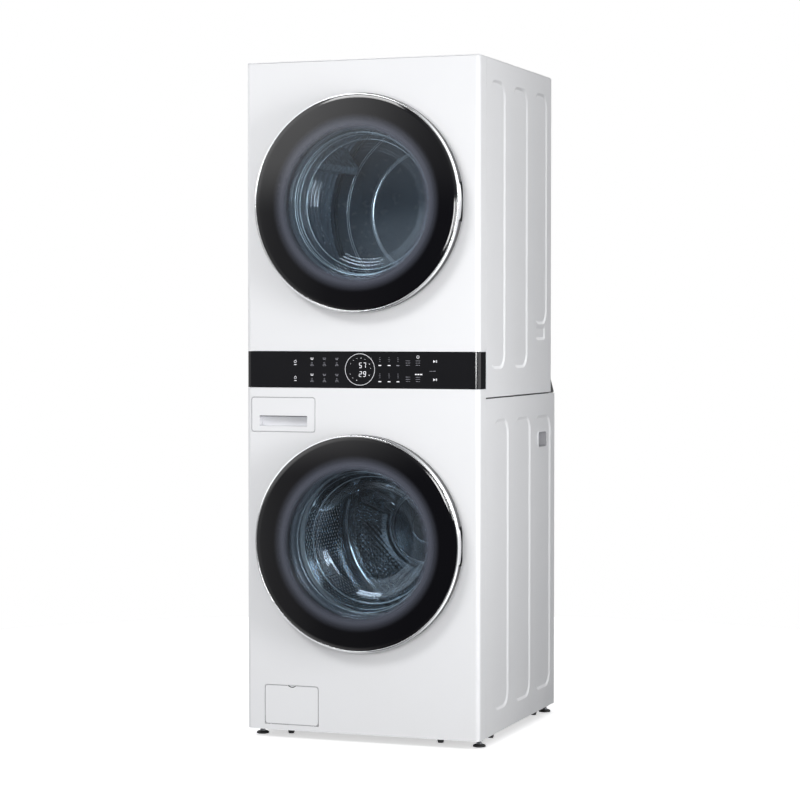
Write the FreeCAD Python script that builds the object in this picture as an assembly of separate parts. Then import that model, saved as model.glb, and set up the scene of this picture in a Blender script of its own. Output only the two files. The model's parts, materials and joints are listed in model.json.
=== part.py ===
import FreeCAD
import Part

import math
import os

# A washer and a tumble dryer stacked in one tower, with one control strip between them.
#
# Frame: millimetres, +Z up, X to the right as you face the doors, Y towards the wall.
# The origin is on the floor, under the middle of the tower's outline.
# Two helper coordinates keep the numbers readable:
#   depth  distance behind the front panels' outer face (negative is in front of it)
#   proud  the same measured the other way, used for the doors that stand out of the face

V = FreeCAD.Vector

# ---------------------------------------------------------------- driving dimensions
WIDTH = 686.0
HEIGHT = 1889.0
DOOR_PROUD = 50.0                    # from the front panels to the crown of the door glass
WASHER_DEPTH = 722.0                 # front panel to the washer's back edge
DRYER_DEPTH = 682.0                  # the dryer is set in at the back
BASE_Z = 24.0                        # underside of the cabinet, above the floor
SEAM_Z = 957.5                       # middle of the seam between washer and dryer
STRIP_Z0 = 984.0                     # control strip
STRIP_Z1 = 1084.6
WASHER_DOOR_Z = 557.0                # both doors are centred on x = 0
DRYER_DOOR_Z = 1491.5
SHEET = 0.9                          # steel sheet
CORNER = 12.0                        # radius of the front vertical edges
FLANGE = 56.0                        # how far the front panels wrap round the sides
GAP = 0.8                            # reveal between neighbouring panels

HALF = WIDTH / 2
FRONT_Y = -(DOOR_PROUD + WASHER_DEPTH) / 2 + DOOR_PROUD
SIDE_DEPTH = FLANGE + GAP            # where the side panels start
SEAM_HALF = 2.0                      # half the height of the dark seam
DECK_HALF = 1.0                      # half the thickness of the deck sheet in it
PANEL_TOP = 1885.4                   # upper edge of the dryer's front and side panels
REAR_SHEET = 706.0                   # depth of the washer's back sheet
BACK_FOLD = 17.0                     # side panels' folded back edge, measured from the outside

# pressed fields in the side panels and the hand grip: depth from, to, then height from, to
WASHER_FIELDS = ((125.0, 265.0, 86.0, 897.0), (322.0, 476.0, 82.0, 895.0), (519.0, 681.0, 86.0, 893.0))
DRYER_FIELDS = (
    (92.0, 231.0, 1036.0, 1832.0), (302.0, 444.0, 1036.0, 1832.0), (510.0, 640.0, 1160.0, 1834.0),
)
DRYER_DIMPLE = (529.0, 621.0, 1114.0, 1155.0)
FIELD_CORNER = 44.0
DIMPLE_CORNER = 14.0
WASHER_GRIP = (560.0, 640.0, 800.0, 844.0)

# doors
GLASS_R = 294.5
RING_R = 301.0
PANEL_HOLE_R = 214.0
BOWL_R = 200.0
GLASS_SEAT = 41.6                    # proud distance of the cover glass's back edge
GLASS_EDGE = 4.0                     # cover glass thickness
HINGE_X = -280.0
HINGE_PROUD = 28.0
HINGE_PIN_R = 3.0
HINGE_EYE_R = 5.5
RUN_CLEAR = 0.05                     # radial clearance of pins and shafts that turn
HANDLE_HALF = 52.0                   # half the height of the grip in the door's edge
HOOK_X = 248.0                       # latch hook and its pin
HOOK_PROUD = 17.0
HOOK_PIN_R = 2.0
BOWL_WALL = 4.5
# outer outlines of the glass bowls: radius, depth, and how far the wall leans towards the axis
WASHER_BOWL = (
    (200.0, 0.0, 0.0), (196.5, 30.0, 0.1), (189.5, 62.0, 0.2), (180.0, 88.0, 0.35),
    (168.0, 103.0, 0.6), (150.0, 112.0, 0.85), (110.0, 118.0, 1.0),
)
DRYER_BOWL = (
    (200.0, 0.0, 0.0), (197.0, 22.0, 0.1), (190.5, 40.0, 0.3), (179.0, 52.0, 0.7), (150.0, 58.0, 1.0),
)

# washer
TUB_R = 298.0
TUB_WALL = 6.0
TUB_FRONT = 62.0                     # depths of the tub
TUB_SPLIT = 330.0
TUB_BACK = 604.0
TUB_MOUTH_R = 206.0
DRUM_R = 267.5
DRUM_WALL = 1.0
DRUM_FRONT = 90.0
DRUM_BACK = 560.0
DRUM_MOUTH_R = 208.0
SHAFT_R = 17.0
BEARING_R = 30.0
DAMPER_X = 200.0
DAMPER_D = (262.0, 470.0)            # depths of the front and rear dampers
DAMPER_EAR_Z = 318.0
SPRING_X = 240.0
SPRING_D = 430.0
SPRING_R = 14.0
INLET_R = 13.2                       # 3/4 inch hose thread
INLET_X = (-262.0, -206.0)
INLET_Z = 892.0
DRAIN_R = 15.0
DRAIN_X = 236.0
POLES = 18                           # wound poles of the washer's motor

# dryer
DRYER_DRUM_R = 318.5
DRYER_DRUM_WALL = 1.0
DRYER_DRUM_FRONT = 96.0
DRYER_DRUM_BACK = 597.0
DRYER_BEADS = (170.0, 210.0, 250.0, 365.0, 405.0, 445.0)
NECK_R = 206.0                       # inside of the front bulkhead's mouth
ROLLER_R = 28.0
ROLLER_X = 150.0
ROLLER_GAP = 0.3
MOTOR_X = 40.0
MOTOR_Z = 1066.0
PULLEY_R = 12.0
BELT_T = 2.7
BELT_GAP = 0.3
BELT_D0 = 301.0
BELT_D1 = 317.0
IDLER_R = 20.0
EXHAUST_X = -60.0
EXHAUST_Z = 1025.0
EXHAUST_R = 51.0                     # the spigot that a 4 inch hose slides over
DUCT_R = 49.0                        # the duct inside the cabinet
DUCT_WALL = 1.5
SPIGOT_D = 674.0                     # where the duct widens to the spigot
BLADES = 14

# drawer and filter hatch, in the washer's front panel
DRAWER = (-329.6, -136.4, 859.4, 957.0)       # x0, x1, z0, z1 of the opening
HATCH = (-290.0, -127.5, 39.0, 150.7)
HATCH_AXIS = (46.5, 7.0)                      # z, depth of the hatch's pivot
HATCH_LUG_X = (-273.0, -144.5)
RECESS = (-305.0, -160.5, 875.5, 905.0)       # finger recess in the drawer front
TRAY_X0 = -321.0                              # the detergent tray's outside
TRAY_X1 = -145.0
TRAY_Z0 = 866.0
TRAY_Z1 = 930.0
TRAY_D0 = 28.0
TRAY_D1 = 318.0
CAP_X = -208.0                                # middle of the drain filter
CAP_Z = 96.0

# feet
FOOT_X = 323.0
FOOT_D0 = 62.0
FOOT_D1 = 692.0
PAD_R = 18.0
STEM_R = 6.0


# ---------------------------------------------------------------- small helpers
def at(depth):
    """Y of a depth behind the front face."""
    return FRONT_Y + depth


def box(x0, x1, d0, d1, z0, z1):
    """A box given by its x, depth and z limits."""
    return Part.makeBox(x1 - x0, d1 - d0, z1 - z0, V(x0, at(d0), z0))


def cyl_y(r, x, z, d0, d1):
    """A cylinder along Y."""
    return Part.makeCylinder(r, d1 - d0, V(x, at(d0), z), V(0, 1, 0))


def cyl_z(r, x, depth, z0, z1):
    """A cylinder along Z."""
    return Part.makeCylinder(r, z1 - z0, V(x, at(depth), z0), V(0, 0, 1))


def cyl_x(r, depth, z, x0, x1):
    """A cylinder along X."""
    return Part.makeCylinder(r, x1 - x0, V(x0, at(depth), z), V(1, 0, 0))


def spin(points, z, x=0.0):
    """Turns a closed outline of (radius, depth) points about the Y line through (x, z)."""
    outline = [V(x + r, at(d), z) for r, d in points]
    face = Part.Face(Part.makePolygon(outline + outline[:1]))
    return face.revolve(V(x, 0, z), V(0, 1, 0), 360)


def spin_door(points, z):
    """As spin, for (radius, proud) points of a door."""
    return spin([(r, -p) for r, p in points], z)


def rounded_wire(a0, a1, b0, b1, radius, place):
    """A rectangle with round corners, put in space by place(a, b)."""
    k = radius * (1 - math.sqrt(0.5))
    lines = [
        ((a0 + radius, b0), (a1 - radius, b0)),
        ((a1, b0 + radius), (a1, b1 - radius)),
        ((a1 - radius, b1), (a0 + radius, b1)),
        ((a0, b1 - radius), (a0, b0 + radius)),
    ]
    middles = [(a1 - k, b0 + k), (a1 - k, b1 - k), (a0 + k, b1 - k), (a0 + k, b0 + k)]
    edges = []
    for i, (start, end) in enumerate(lines):
        following = lines[(i + 1) % 4][0]
        edges.append(Part.LineSegment(place(*start), place(*end)).toShape())
        edges.append(Part.Arc(place(*end), place(*middles[i]), place(*following)).toShape())
    return Part.Wire(edges)


def slab_y(x0, x1, z0, z1, radius, d0, d1):
    """A plate with round corners, seen from the front, from depth d0 to d1."""
    wire = rounded_wire(x0, x1, z0, z1, radius, lambda a, b: V(a, at(d0), b))
    return Part.Face(wire).extrude(V(0, d1 - d0, 0))


def mirror_x(shape):
    """The same piece on the other side of the tower."""
    return shape.mirror(V(0, 0, 0), V(1, 0, 0))


def joined(first, *others):
    """One solid from several."""
    result = first.fuse(list(others)) if others else first
    return result.removeSplitter()


def save(name, *solids):
    """Writes one sub-part. Several solids stay separate inside it."""
    for solid in solids:
        if not solid.isValid():
            print("invalid solid in", name)
    shape = solids[0] if len(solids) == 1 else Part.makeCompound(list(solids))
    shape.exportStep("parts/" + name + ".step")


# ---------------------------------------------------------------- front panels and strip
def channel(inset, depth_back, z0, z1, depth_front=0.0):
    """The solid inside a front panel's outline: flat front, round vertical edges, open sides."""
    half = HALF - inset
    front = depth_front + inset
    r = CORNER - inset
    k = r * (1 - math.sqrt(0.5))

    def p(x, d):
        return V(x, at(d), z0)

    edges = [
        Part.LineSegment(p(-half, depth_back), p(-half, front + r)).toShape(),
        Part.Arc(p(-half, front + r), p(-half + k, front + k), p(-half + r, front)).toShape(),
        Part.LineSegment(p(-half + r, front), p(half - r, front)).toShape(),
        Part.Arc(p(half - r, front), p(half - k, front + k), p(half, front + r)).toShape(),
        Part.LineSegment(p(half, front + r), p(half, depth_back)).toShape(),
        Part.LineSegment(p(half, depth_back), p(-half, depth_back)).toShape(),
    ]
    return Part.Face(Part.Wire(edges)).extrude(V(0, 0, z1 - z0))


def front_shell(z0, z1, thickness=SHEET, depth_front=0.0, flange=FLANGE):
    """A front panel folded back at both sides."""
    outer = channel(0.0, flange, z0, z1, depth_front)
    inner = channel(thickness, flange + 1.0, z0 - 1.0, z1 + 1.0, depth_front)
    return outer.cut(inner)


def latch_slot(door_z):
    """The slot in a front panel that the door's hook or striker passes through."""
    return slab_y(HOOK_X - 12.0, HOOK_X + 14.0, door_z - 14.0, door_z + 14.0, 4.0, -1.0, SHEET + 1.0)


def washer_front_panel():
    panel = front_shell(BASE_Z, STRIP_Z0 - GAP)
    hatch = slab_y(*HATCH, 8.0, -1.0, 3.0)
    # squarer lower corners, which the hatch passes between as it swings down
    hx0, hx1, hz0, _ = HATCH
    hatch = hatch.fuse(slab_y(hx0, hx1, hz0, hz0 + 20.0, 2.0, -1.0, 3.0))
    drawer = slab_y(*DRAWER, 7.0, -1.0, 3.0)
    mouth = cyl_y(PANEL_HOLE_R, 0, WASHER_DOOR_Z, -1.0, 3.0)
    panel = panel.cut([mouth, drawer, hatch, latch_slot(WASHER_DOOR_Z)])
    # eyes and pins for the filter hatch, carried from below the opening
    z_axis, d_axis = HATCH_AXIS
    eye_r = 3.3
    ear_back = d_axis + 11.0
    foot_z = BASE_Z + 5.0
    ears = []
    for x in HATCH_LUG_X:
        x0 = x - 6.5
        x1 = x - 3.3
        eye = cyl_x(eye_r, d_axis, z_axis, x0, x1)
        arm = box(x0, x1, d_axis, ear_back, z_axis - eye_r, z_axis + eye_r)
        post = box(x0, x1, ear_back - 3.5, ear_back, foot_z, z_axis + eye_r)
        foot = box(x0, x1, SHEET, ear_back, foot_z, foot_z + 4.0)
        ears.append(eye.fuse([arm, post, foot, cyl_x(1.5, d_axis, z_axis, x0, x + 3.0)]))
    return joined(panel, *ears)


def dryer_front_panel():
    panel = front_shell(STRIP_Z1 + GAP, PANEL_TOP)
    mouth = cyl_y(PANEL_HOLE_R, 0, DRYER_DOOR_Z, -1.0, 3.0)
    return panel.cut([mouth, latch_slot(DRYER_DOOR_Z)])


def control_strip():
    """The black strip: a folded plastic housing and the flat glass let into its face."""
    wall = 3.0
    glass_x = HALF - CORNER - 0.5
    z0 = STRIP_Z0
    z1 = STRIP_Z1
    shell = front_shell(z0, z1, thickness=wall, flange=FLANGE - 1.0)
    shelves = [
        box(-HALF + wall, HALF - wall, wall, FLANGE - 4.0, z0, z0 + 2.0),
        box(-HALF + wall, HALF - wall, wall, FLANGE - 4.0, z1 - 2.0, z1),
    ]
    housing = joined(shell, *shelves)
    window = slab_y(-glass_x, glass_x, z0 + 1.6, z1 - 1.6, 1.5, -1.0, 1.8)
    housing = housing.cut(window)
    glass = slab_y(-glass_x + 0.3, glass_x - 0.3, z0 + 1.9, z1 - 1.9, 1.3, -0.4, 1.8)
    return housing, glass


# ---------------------------------------------------------------- cabinet sides, back, top
def pressed_field(d0, d1, z0, z1, radius, sink=3.0, slope=8.0):
    """A long shallow pressing in a right-hand side panel: the part to add behind and to cut."""

    def ring(grow, x):
        return rounded_wire(
            d0 + grow, d1 - grow, z0 + grow, z1 - grow, radius - grow, lambda a, b: V(x, at(a), b)
        )

    cut = Part.makeLoft([ring(0.0, HALF), ring(slope, HALF - sink)], True, True)
    inner = HALF - SHEET
    pan = Part.makeLoft([ring(0.0, inner), ring(slope - 1.0, inner - sink)], True, True)
    return pan, cut


def side_panel(depth_back, z0, z1, fields, grip=None):
    """A right-hand side panel with pressed fields, a folded back edge and a hand grip."""
    inner = HALF - SHEET
    over_feet = z0 + 32.0
    panel = box(inner, HALF, SIDE_DEPTH, depth_back, z0, z1)
    fold = box(HALF - 16.0, inner, depth_back - SHEET, depth_back, z0, z1)
    lip = box(HALF - 14.0, inner, SIDE_DEPTH, SIDE_DEPTH + SHEET, over_feet, z1)
    pans = []
    cuts = []
    for d0, d1, f0, f1, radius in fields:
        pan, cut = pressed_field(d0, d1, f0, f1, radius)
        pans.append(pan)
        cuts.append(cut)
    panel = panel.fuse([fold, lip] + pans).cut(cuts)
    if grip:
        d0, d1, g0, g1 = grip
        wall = 1.5
        depth_in = 24.0

        def prism(grow, x0, x1):
            wire = rounded_wire(
                d0 - grow, d1 + grow, g0 - grow, g1 + grow, 9.0 + grow, lambda a, b: V(x0, at(a), b)
            )
            return Part.Face(wire).extrude(V(x1 - x0, 0, 0))

        panel = panel.fuse(prism(wall, HALF - depth_in, HALF - SHEET))
        panel = panel.cut(prism(0.0, HALF - depth_in + wall, HALF + 1.0))
    return panel.removeSplitter()


def rear_folds(d0, d1, z0, z1):
    """The folds at both sides of a back sheet that screw to the side panels' back edges."""
    x = HALF - BACK_FOLD
    return [box(x - SHEET, x, d0, d1, z0, z1), box(-x, -x + SHEET, d0, d1, z0, z1)]


def washer_rear_panel():
    """The back sheet, with holes for the two water inlets and the drain outlet."""
    x = HALF - BACK_FOLD
    top = SEAM_Z - 20.0
    panel = box(-x, x, REAR_SHEET, REAR_SHEET + SHEET, BASE_Z + 2.0, top)
    holes = [cyl_y(INLET_R + 2.0, x, INLET_Z, REAR_SHEET - 1.0, REAR_SHEET + 3.0) for x in INLET_X]
    holes.append(cyl_y(DRAIN_R + 2.0, DRAIN_X, INLET_Z, REAR_SHEET - 1.0, REAR_SHEET + 3.0))
    return joined(panel.cut(holes), *rear_folds(REAR_SHEET - 12.0, REAR_SHEET, BASE_Z + 32.0, top))


def water_connections():
    """Hot and cold inlet valves and the drain outlet, each a body inside and a stub outside."""
    pieces = []
    for x in INLET_X:
        body = box(x - 20.0, x + 20.0, REAR_SHEET - 60.0, REAR_SHEET - 1.0, INLET_Z - 24.0, INLET_Z + 24.0)
        stub = cyl_y(INLET_R, x, INLET_Z, REAR_SHEET - 4.0, WASHER_DEPTH)
        bore = cyl_y(9.5, x, INLET_Z, REAR_SHEET - 20.0, WASHER_DEPTH + 1.0)
        pieces.append(joined(body, stub).cut(bore))
    collar = cyl_y(DRAIN_R + 6.0, DRAIN_X, INLET_Z, REAR_SHEET - 30.0, REAR_SHEET - 1.0)
    outlet = cyl_y(DRAIN_R, DRAIN_X, INLET_Z, REAR_SHEET - 4.0, WASHER_DEPTH)
    bore = cyl_y(DRAIN_R - 2.5, DRAIN_X, INLET_Z, REAR_SHEET - 20.0, WASHER_DEPTH + 1.0)
    pieces.append(joined(collar, outlet).cut(bore))
    return pieces


def dryer_rear_panel():
    """The dryer's back sheet, with the hole for the exhaust duct."""
    d0 = DRYER_DEPTH - 10.0
    x = HALF - BACK_FOLD
    z0 = SEAM_Z + 4.0
    z1 = PANEL_TOP - 2.0
    panel = box(-x, x, d0, d0 + SHEET, z0, z1)
    hole = cyl_y(EXHAUST_R + 1.5, EXHAUST_X, EXHAUST_Z, d0 - 1.0, d0 + 3.0)
    return joined(panel, *rear_folds(d0 - 10.0, d0, z0, z1)).cut(hole)


def dryer_top_cover():
    """The lid: a flat sheet with a short folded skirt inside the panels."""
    edge = 0.6
    plate = slab_z(HALF - edge, edge, DRYER_DEPTH, 1886.0, HEIGHT)
    inner = slab_z(HALF - edge - 2.0, edge + 2.0, DRYER_DEPTH - 2.0, 1885.0, HEIGHT - 1.0)
    return plate.cut(inner)


def slab_z(half, d0, d1, z0, z1):
    """A level plate whose front corners are round, like the front panels'."""
    r = CORNER - 0.6
    k = r * (1 - math.sqrt(0.5))

    def p(x, d):
        return V(x, at(d), z0)

    edges = [
        Part.LineSegment(p(-half, d1), p(-half, d0 + r)).toShape(),
        Part.Arc(p(-half, d0 + r), p(-half + k, d0 + k), p(-half + r, d0)).toShape(),
        Part.LineSegment(p(-half + r, d0), p(half - r, d0)).toShape(),
        Part.Arc(p(half - r, d0), p(half - k, d0 + k), p(half, d0 + r)).toShape(),
        Part.LineSegment(p(half, d0 + r), p(half, d1)).toShape(),
        Part.LineSegment(p(half, d1), p(-half, d1)).toShape(),
    ]
    return Part.Face(Part.Wire(edges)).extrude(V(0, 0, z1 - z0))


def deck_frame():
    """The dark deck that joins the two cabinets, with its two gussets behind the dryer."""
    z0 = SEAM_Z - DECK_HALF
    z1 = SEAM_Z + DECK_HALF
    skirt_z = SEAM_Z - 17.0
    front = 4.0
    back = WASHER_DEPTH - 2.5
    thick = 1.5
    x = HALF - BACK_FOLD - 0.5
    plate = channel(front, WASHER_DEPTH - 0.5, z0, z1)
    skirts = [
        box(-x, x, front, front + thick, skirt_z, z0),
        box(-x, x, back - thick, back, skirt_z + 1.0, z0),
        box(x - thick, x, front, back - thick, skirt_z, z0),
        box(-x, -x + thick, front, back - thick, skirt_z, z0),
    ]
    gussets = []
    for x in (HALF - 5.0, -HALF + 2.0):
        d0 = DRYER_DEPTH + 0.6
        corners = [V(x, at(d0), z1), V(x, at(WASHER_DEPTH - 0.5), z1), V(x, at(d0), z1 + 46.0)]
        gussets.append(Part.Face(Part.makePolygon(corners + corners[:1])).extrude(V(3.0, 0, 0)))
    return joined(plate, *skirts, *gussets)


# ---------------------------------------------------------------- base and feet
def feet_places():
    return {
        "front_left": (-FOOT_X, FOOT_D0),
        "front_right": (FOOT_X, FOOT_D0),
        "rear_left": (-FOOT_X, FOOT_D1),
        "rear_right": (FOOT_X, FOOT_D1),
    }


def washer_base_tray():
    """The folded base with a threaded boss over each foot, and the four lock nuts."""
    top = BASE_Z + 12.0
    d0 = SHEET + 0.4
    d1 = WASHER_DEPTH - 2.0
    outer = channel(d0, d1, BASE_Z, top)
    tray = outer.cut(channel(d0 + 1.5, d1 - 1.5, BASE_Z + 1.5, top + 1.0))
    # the front wall stays low where the filter hatch swings
    tray = tray.cut(box(HATCH[0] - 6.0, HATCH[1] + 6.0, d0 - 1.0, d0 + 8.0, BASE_Z + 4.0, top + 1.0))
    bosses = []
    bores = []
    nuts = []
    for x, depth in feet_places().values():
        bosses.append(cyl_z(12.0, x, depth, BASE_Z + 1.5, BASE_Z + 26.0))
        bores.append(cyl_z(STEM_R + RUN_CLEAR, x, depth, BASE_Z - 8.0, BASE_Z + 30.0))
        nuts.append(hex_nut(11.0, x, depth, BASE_Z - 6.5, BASE_Z))
    tray = tray.fuse(bosses).cut(bores)
    nuts = [nut.cut(bores) for nut in nuts]
    return [tray.removeSplitter()] + nuts


def hex_nut(radius, x, depth, z0, z1):
    corners = [
        V(x + radius * math.cos(math.radians(a)), at(depth) + radius * math.sin(math.radians(a)), z0)
        for a in range(0, 360, 60)
    ]
    return Part.Face(Part.makePolygon(corners + corners[:1])).extrude(V(0, 0, z1 - z0))


def levelling_foot(x, depth):
    """A round pad and the steel stem that screws into the base."""
    pad = Part.makeCone(PAD_R, PAD_R - 3.0, 7.0, V(x, at(depth), 0))
    collar = Part.makeCone(11.0, 8.0, 4.0, V(x, at(depth), 7.0))
    stem = cyl_z(STEM_R, x, depth, 11.0, BASE_Z + 24.0)
    return [pad.fuse(collar).removeSplitter(), stem]


def base_bumpers():
    """Small rubber plugs under the edge of the base."""
    places = [(-222.0, 30.0), (222.0, 30.0)]
    places += [(s * 327.0, d) for s in (-1, 1) for d in (150.0, 563.0)]
    return [
        Part.makeCone(8.0, 10.5, BASE_Z - 11.0, V(x, at(d), 11.0))
        for x, d in places
    ]


# ---------------------------------------------------------------- drawer
def drawer_front():
    """The white drawer face with its finger recess, which runs up behind the lip."""
    gap = 0.8
    x0, x1, z0, z1 = DRAWER
    face = slab_y(x0 + gap, x1 - gap, z0 + gap, z1 - gap, 6.0, 0.0, 3.0)
    rx0, rx1, rz0, rz1 = RECESS
    back = TRAY_D0 - 2.0
    lift = 9.0
    shell = box(rx0 - 2.0, rx1 + 2.0, 1.0, back, rz0 - 2.0, rz1 + lift + 2.0)
    pocket = slab_y(rx0, rx1, rz0, rz1, 2.0, -1.0, back - 2.0)
    behind = box(rx0, rx1, 6.0, back - 2.0, rz0, rz1 + lift)
    return joined(face, shell).cut([pocket, behind])


def detergent_tray():
    """An open tray with three compartments."""
    wall = 2.5
    front = TRAY_D0
    tray = box(TRAY_X0, TRAY_X1, front, TRAY_D1, TRAY_Z0, TRAY_Z1)
    split_x = -228.0
    split_d = 170.0
    floor = TRAY_Z0 + wall
    wells = [
        box(TRAY_X0 + wall, split_x - 1.2, front + wall, TRAY_D1 - wall, floor, TRAY_Z1 + 1.0),
        box(split_x + 1.2, TRAY_X1 - wall, front + wall, split_d, floor, TRAY_Z1 + 1.0),
        box(split_x + 1.2, TRAY_X1 - wall, split_d + wall, TRAY_D1 - wall, floor, TRAY_Z1 + 1.0),
    ]
    # a web that carries the drawer face
    web = box(TRAY_X0, TRAY_X1, front - 2.0, front, TRAY_Z0, TRAY_Z1)
    return joined(tray.cut(wells), web)


def dispenser_housing():
    """The box that the drawer runs in, open at the front, with its outlet to the tub."""
    wall = 2.0
    x0 = TRAY_X0 - 4.5
    x1 = TRAY_X1 + 4.5
    z0 = TRAY_Z0 - 4.5
    z1 = TRAY_Z1 + 5.5
    d0 = 4.0
    d1 = TRAY_D1 + 14.0
    outer = box(x0, x1, d0, d1, z0, z1)
    inner = box(x0 + wall, x1 - wall, d0 - 1.0, d1 - wall, z0 + wall, z1 - wall)
    spout = cyl_z(18.0, -232.0, 250.0, z0 - 26.0, z0 + 1.0)
    bore = cyl_z(15.0, -232.0, 250.0, z0 - 27.0, z0 + 3.0)
    return joined(outer.cut(inner), spout).cut(bore)


# ---------------------------------------------------------------- filter hatch and pump
def drain_filter_hatch():
    """The small door over the drain filter, on two lugs at its lower edge."""
    z_axis, d_axis = HATCH_AXIS
    gap = 1.0
    thick = 2.5
    x0, x1, z0, z1 = HATCH
    plate = slab_y(x0 + gap, x1 - gap, z0 + gap, z1 - gap, 7.0, 0.0, thick)
    scoop = cyl_y(17.0, CAP_X, z1 + 10.0, -1.0, thick + 0.5)
    lugs = []
    bores = []
    for x in HATCH_LUG_X:
        lugs.append(box(x - 3.0, x + 3.0, thick, d_axis + 3.0, z_axis - 3.0, z_axis + 3.5))
        bores.append(cyl_x(1.5 + RUN_CLEAR, d_axis, z_axis, x - 4.0, x + 4.0))
    return joined(plate.cut(scoop), *lugs).cut(bores)


def drain_filter_cap():
    """The round filter plug with its grip bar."""
    cap = cyl_y(31.0, CAP_X, CAP_Z, 24.0, 30.0)
    grip = box(CAP_X - 25.0, CAP_X + 25.0, 14.0, 24.5, CAP_Z - 4.0, CAP_Z + 4.0)
    plug = cyl_y(27.9, CAP_X, CAP_Z, 29.5, 62.0)
    basket = cyl_y(20.0, CAP_X, CAP_Z, 61.0, 104.0).cut(cyl_y(17.5, CAP_X, CAP_Z, 64.0, 105.0))
    return joined(cap, grip, plug, basket)


def drain_pump():
    """The pump body that the filter screws into, with its motor, on the base."""
    body = cyl_y(34.0, CAP_X, CAP_Z, 30.5, 140.0)
    hollow = cyl_y(27.95, CAP_X, CAP_Z, 29.5, 130.0)
    motor = cyl_y(27.0, CAP_X, CAP_Z, 140.0, 196.0)
    outlet = cyl_z(12.0, CAP_X, 110.0, CAP_Z + 30.0, CAP_Z + 66.0)
    bore = cyl_z(9.5, CAP_X, 110.0, CAP_Z + 20.0, CAP_Z + 67.0)
    foot = box(CAP_X - 30.0, CAP_X + 30.0, 50.0, 130.0, BASE_Z + 1.5, CAP_Z - 20.0)
    return joined(body, motor, outlet, foot).cut([hollow, bore])


# ---------------------------------------------------------------- doors
def door_frame(z):
    """The black door body: a ring-shaped channel with the grip pocket and the hinge leaf."""
    ring = spin_door(
        [
            (300.3, 38.0), (300.0, 14.0), (296.0, 7.0), (291.0, 3.5), (212.0, 3.5), (212.0, 43.2),
            (215.0, 43.2), (215.0, 6.0), (289.5, 6.0), (293.0, 8.5), (297.0, 15.0), (297.3, 38.0),
        ],
        z,
    )
    # room for the goose-neck hinge
    hinge_room = box(-304.0, -240.0, -9.0, 1.0, z - 60.0, z + 60.0)
    boss = box(-238.0, -214.0, -26.0, -5.0, z - 33.0, z + 33.0)
    # grip pocket, open to the side
    g = HANDLE_HALF
    pocket_box = box(259.5, 296.5, -35.5, -5.5, z - g - 2.5, z + g + 2.5)
    rim = spin_door([(215.0, 5.0), (298.5, 5.0), (298.5, 36.0), (215.0, 36.0)], z)
    pocket_box = pocket_box.common(rim)
    pocket = box(262.0, 310.0, -33.0, -8.0, z - g, z + g)
    mouth = box(288.0, 310.0, -38.5, -8.0, z - g - 1.0, z + g + 1.0)
    body = ring.cut(hinge_room).fuse([boss, pocket_box]).cut([pocket, mouth])
    return body.removeSplitter()


def hinge_leaf(z):
    """The steel leaf on the door: a barrel round the pin and a strap to the door's boss."""
    barrel = Part.makeCylinder(HINGE_EYE_R, 66.0, V(HINGE_X, at(-HINGE_PROUD), z - 33.0), V(0, 0, 1))
    strap = box(HINGE_X, -217.0, -HINGE_PROUD - 2.0, -26.0, z - 33.0, z + 33.0)
    bore = cyl_z(HINGE_PIN_R + RUN_CLEAR, HINGE_X, -HINGE_PROUD, z - 34.0, z + 34.0)
    return barrel.fuse(strap).cut(bore).removeSplitter()


def hinge_bracket(z):
    """The goose-neck bracket on the front panel, and its pin."""
    arms = []
    for z0 in (z - 45.0, z + 35.0):
        eye = cyl_z(HINGE_EYE_R, HINGE_X, -HINGE_PROUD, z0, z0 + 10.0)
        arm = box(HINGE_X, HINGE_X + 34.0, -HINGE_PROUD - 2.0, -HINGE_PROUD + 2.0, z0, z0 + 10.0)
        leg = box(HINGE_X + 30.0, HINGE_X + 34.0, -HINGE_PROUD, 0.0, z0, z0 + 10.0)
        arms.append(eye.fuse([arm, leg]))
    plate = box(HINGE_X + 30.0, HINGE_X + 54.0, -2.5, 0.0, z - 52.0, z + 52.0)
    bore = cyl_z(HINGE_PIN_R, HINGE_X, -HINGE_PROUD, z - 50.0, z + 50.0)
    bracket = plate.fuse(arms).removeSplitter().cut(bore)
    pin = cyl_z(HINGE_PIN_R, HINGE_X, -HINGE_PROUD, z - 47.0, z + 47.0)
    return [bracket, pin]


def door_ring(z):
    """The bright bezel round the glass, wider at the grip."""
    ring = spin_door(
        [
            (294.8, 46.0), (297.2, 46.0), (RING_R, 41.6), (RING_R, 38.0), (286.0, 38.0), (286.0, GLASS_SEAT),
            (294.8, GLASS_SEAT),
        ],
        z,
    )
    lip = spin_door([(297.6, 38.0), (301.0, 41.0), (302.6, 36.0), (301.8, 29.5), (298.6, 29.5)], z)
    lip = lip.common(box(280.0, 310.0, -45.0, -20.0, z - HANDLE_HALF, z + HANDLE_HALF))
    return joined(ring, lip)


def door_glass(z):
    """The slightly domed cover glass: a disc between two large spheres."""
    rise = DOOR_PROUD - GLASS_SEAT - GLASS_EDGE
    dome = (GLASS_R**2 + rise**2) / (2 * rise)
    disc = cyl_y(GLASS_R, 0, z, -DOOR_PROUD - 1.0, -GLASS_SEAT)
    front = Part.makeSphere(dome, V(0, at(dome - DOOR_PROUD), z))
    back = Part.makeSphere(dome, V(0, at(dome - DOOR_PROUD + GLASS_EDGE), z))
    return disc.common(front).cut(back)


def door_bowl(z, profile):
    """The moulded glass bowl behind the cover glass, with its flat rim."""
    inner = [(r - BOWL_WALL, d - BOWL_WALL * lean) for r, d, lean in reversed(profile)]
    outer = [(r, d) for r, d, lean in profile]
    rim = [(BOWL_R - BOWL_WALL, -14.0), (212.0, -14.0), (212.0, -9.0), (BOWL_R, -9.0)]
    return spin(rim + outer + [(0.0, outer[-1][1]), (0.0, inner[0][1])] + inner, z)


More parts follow.
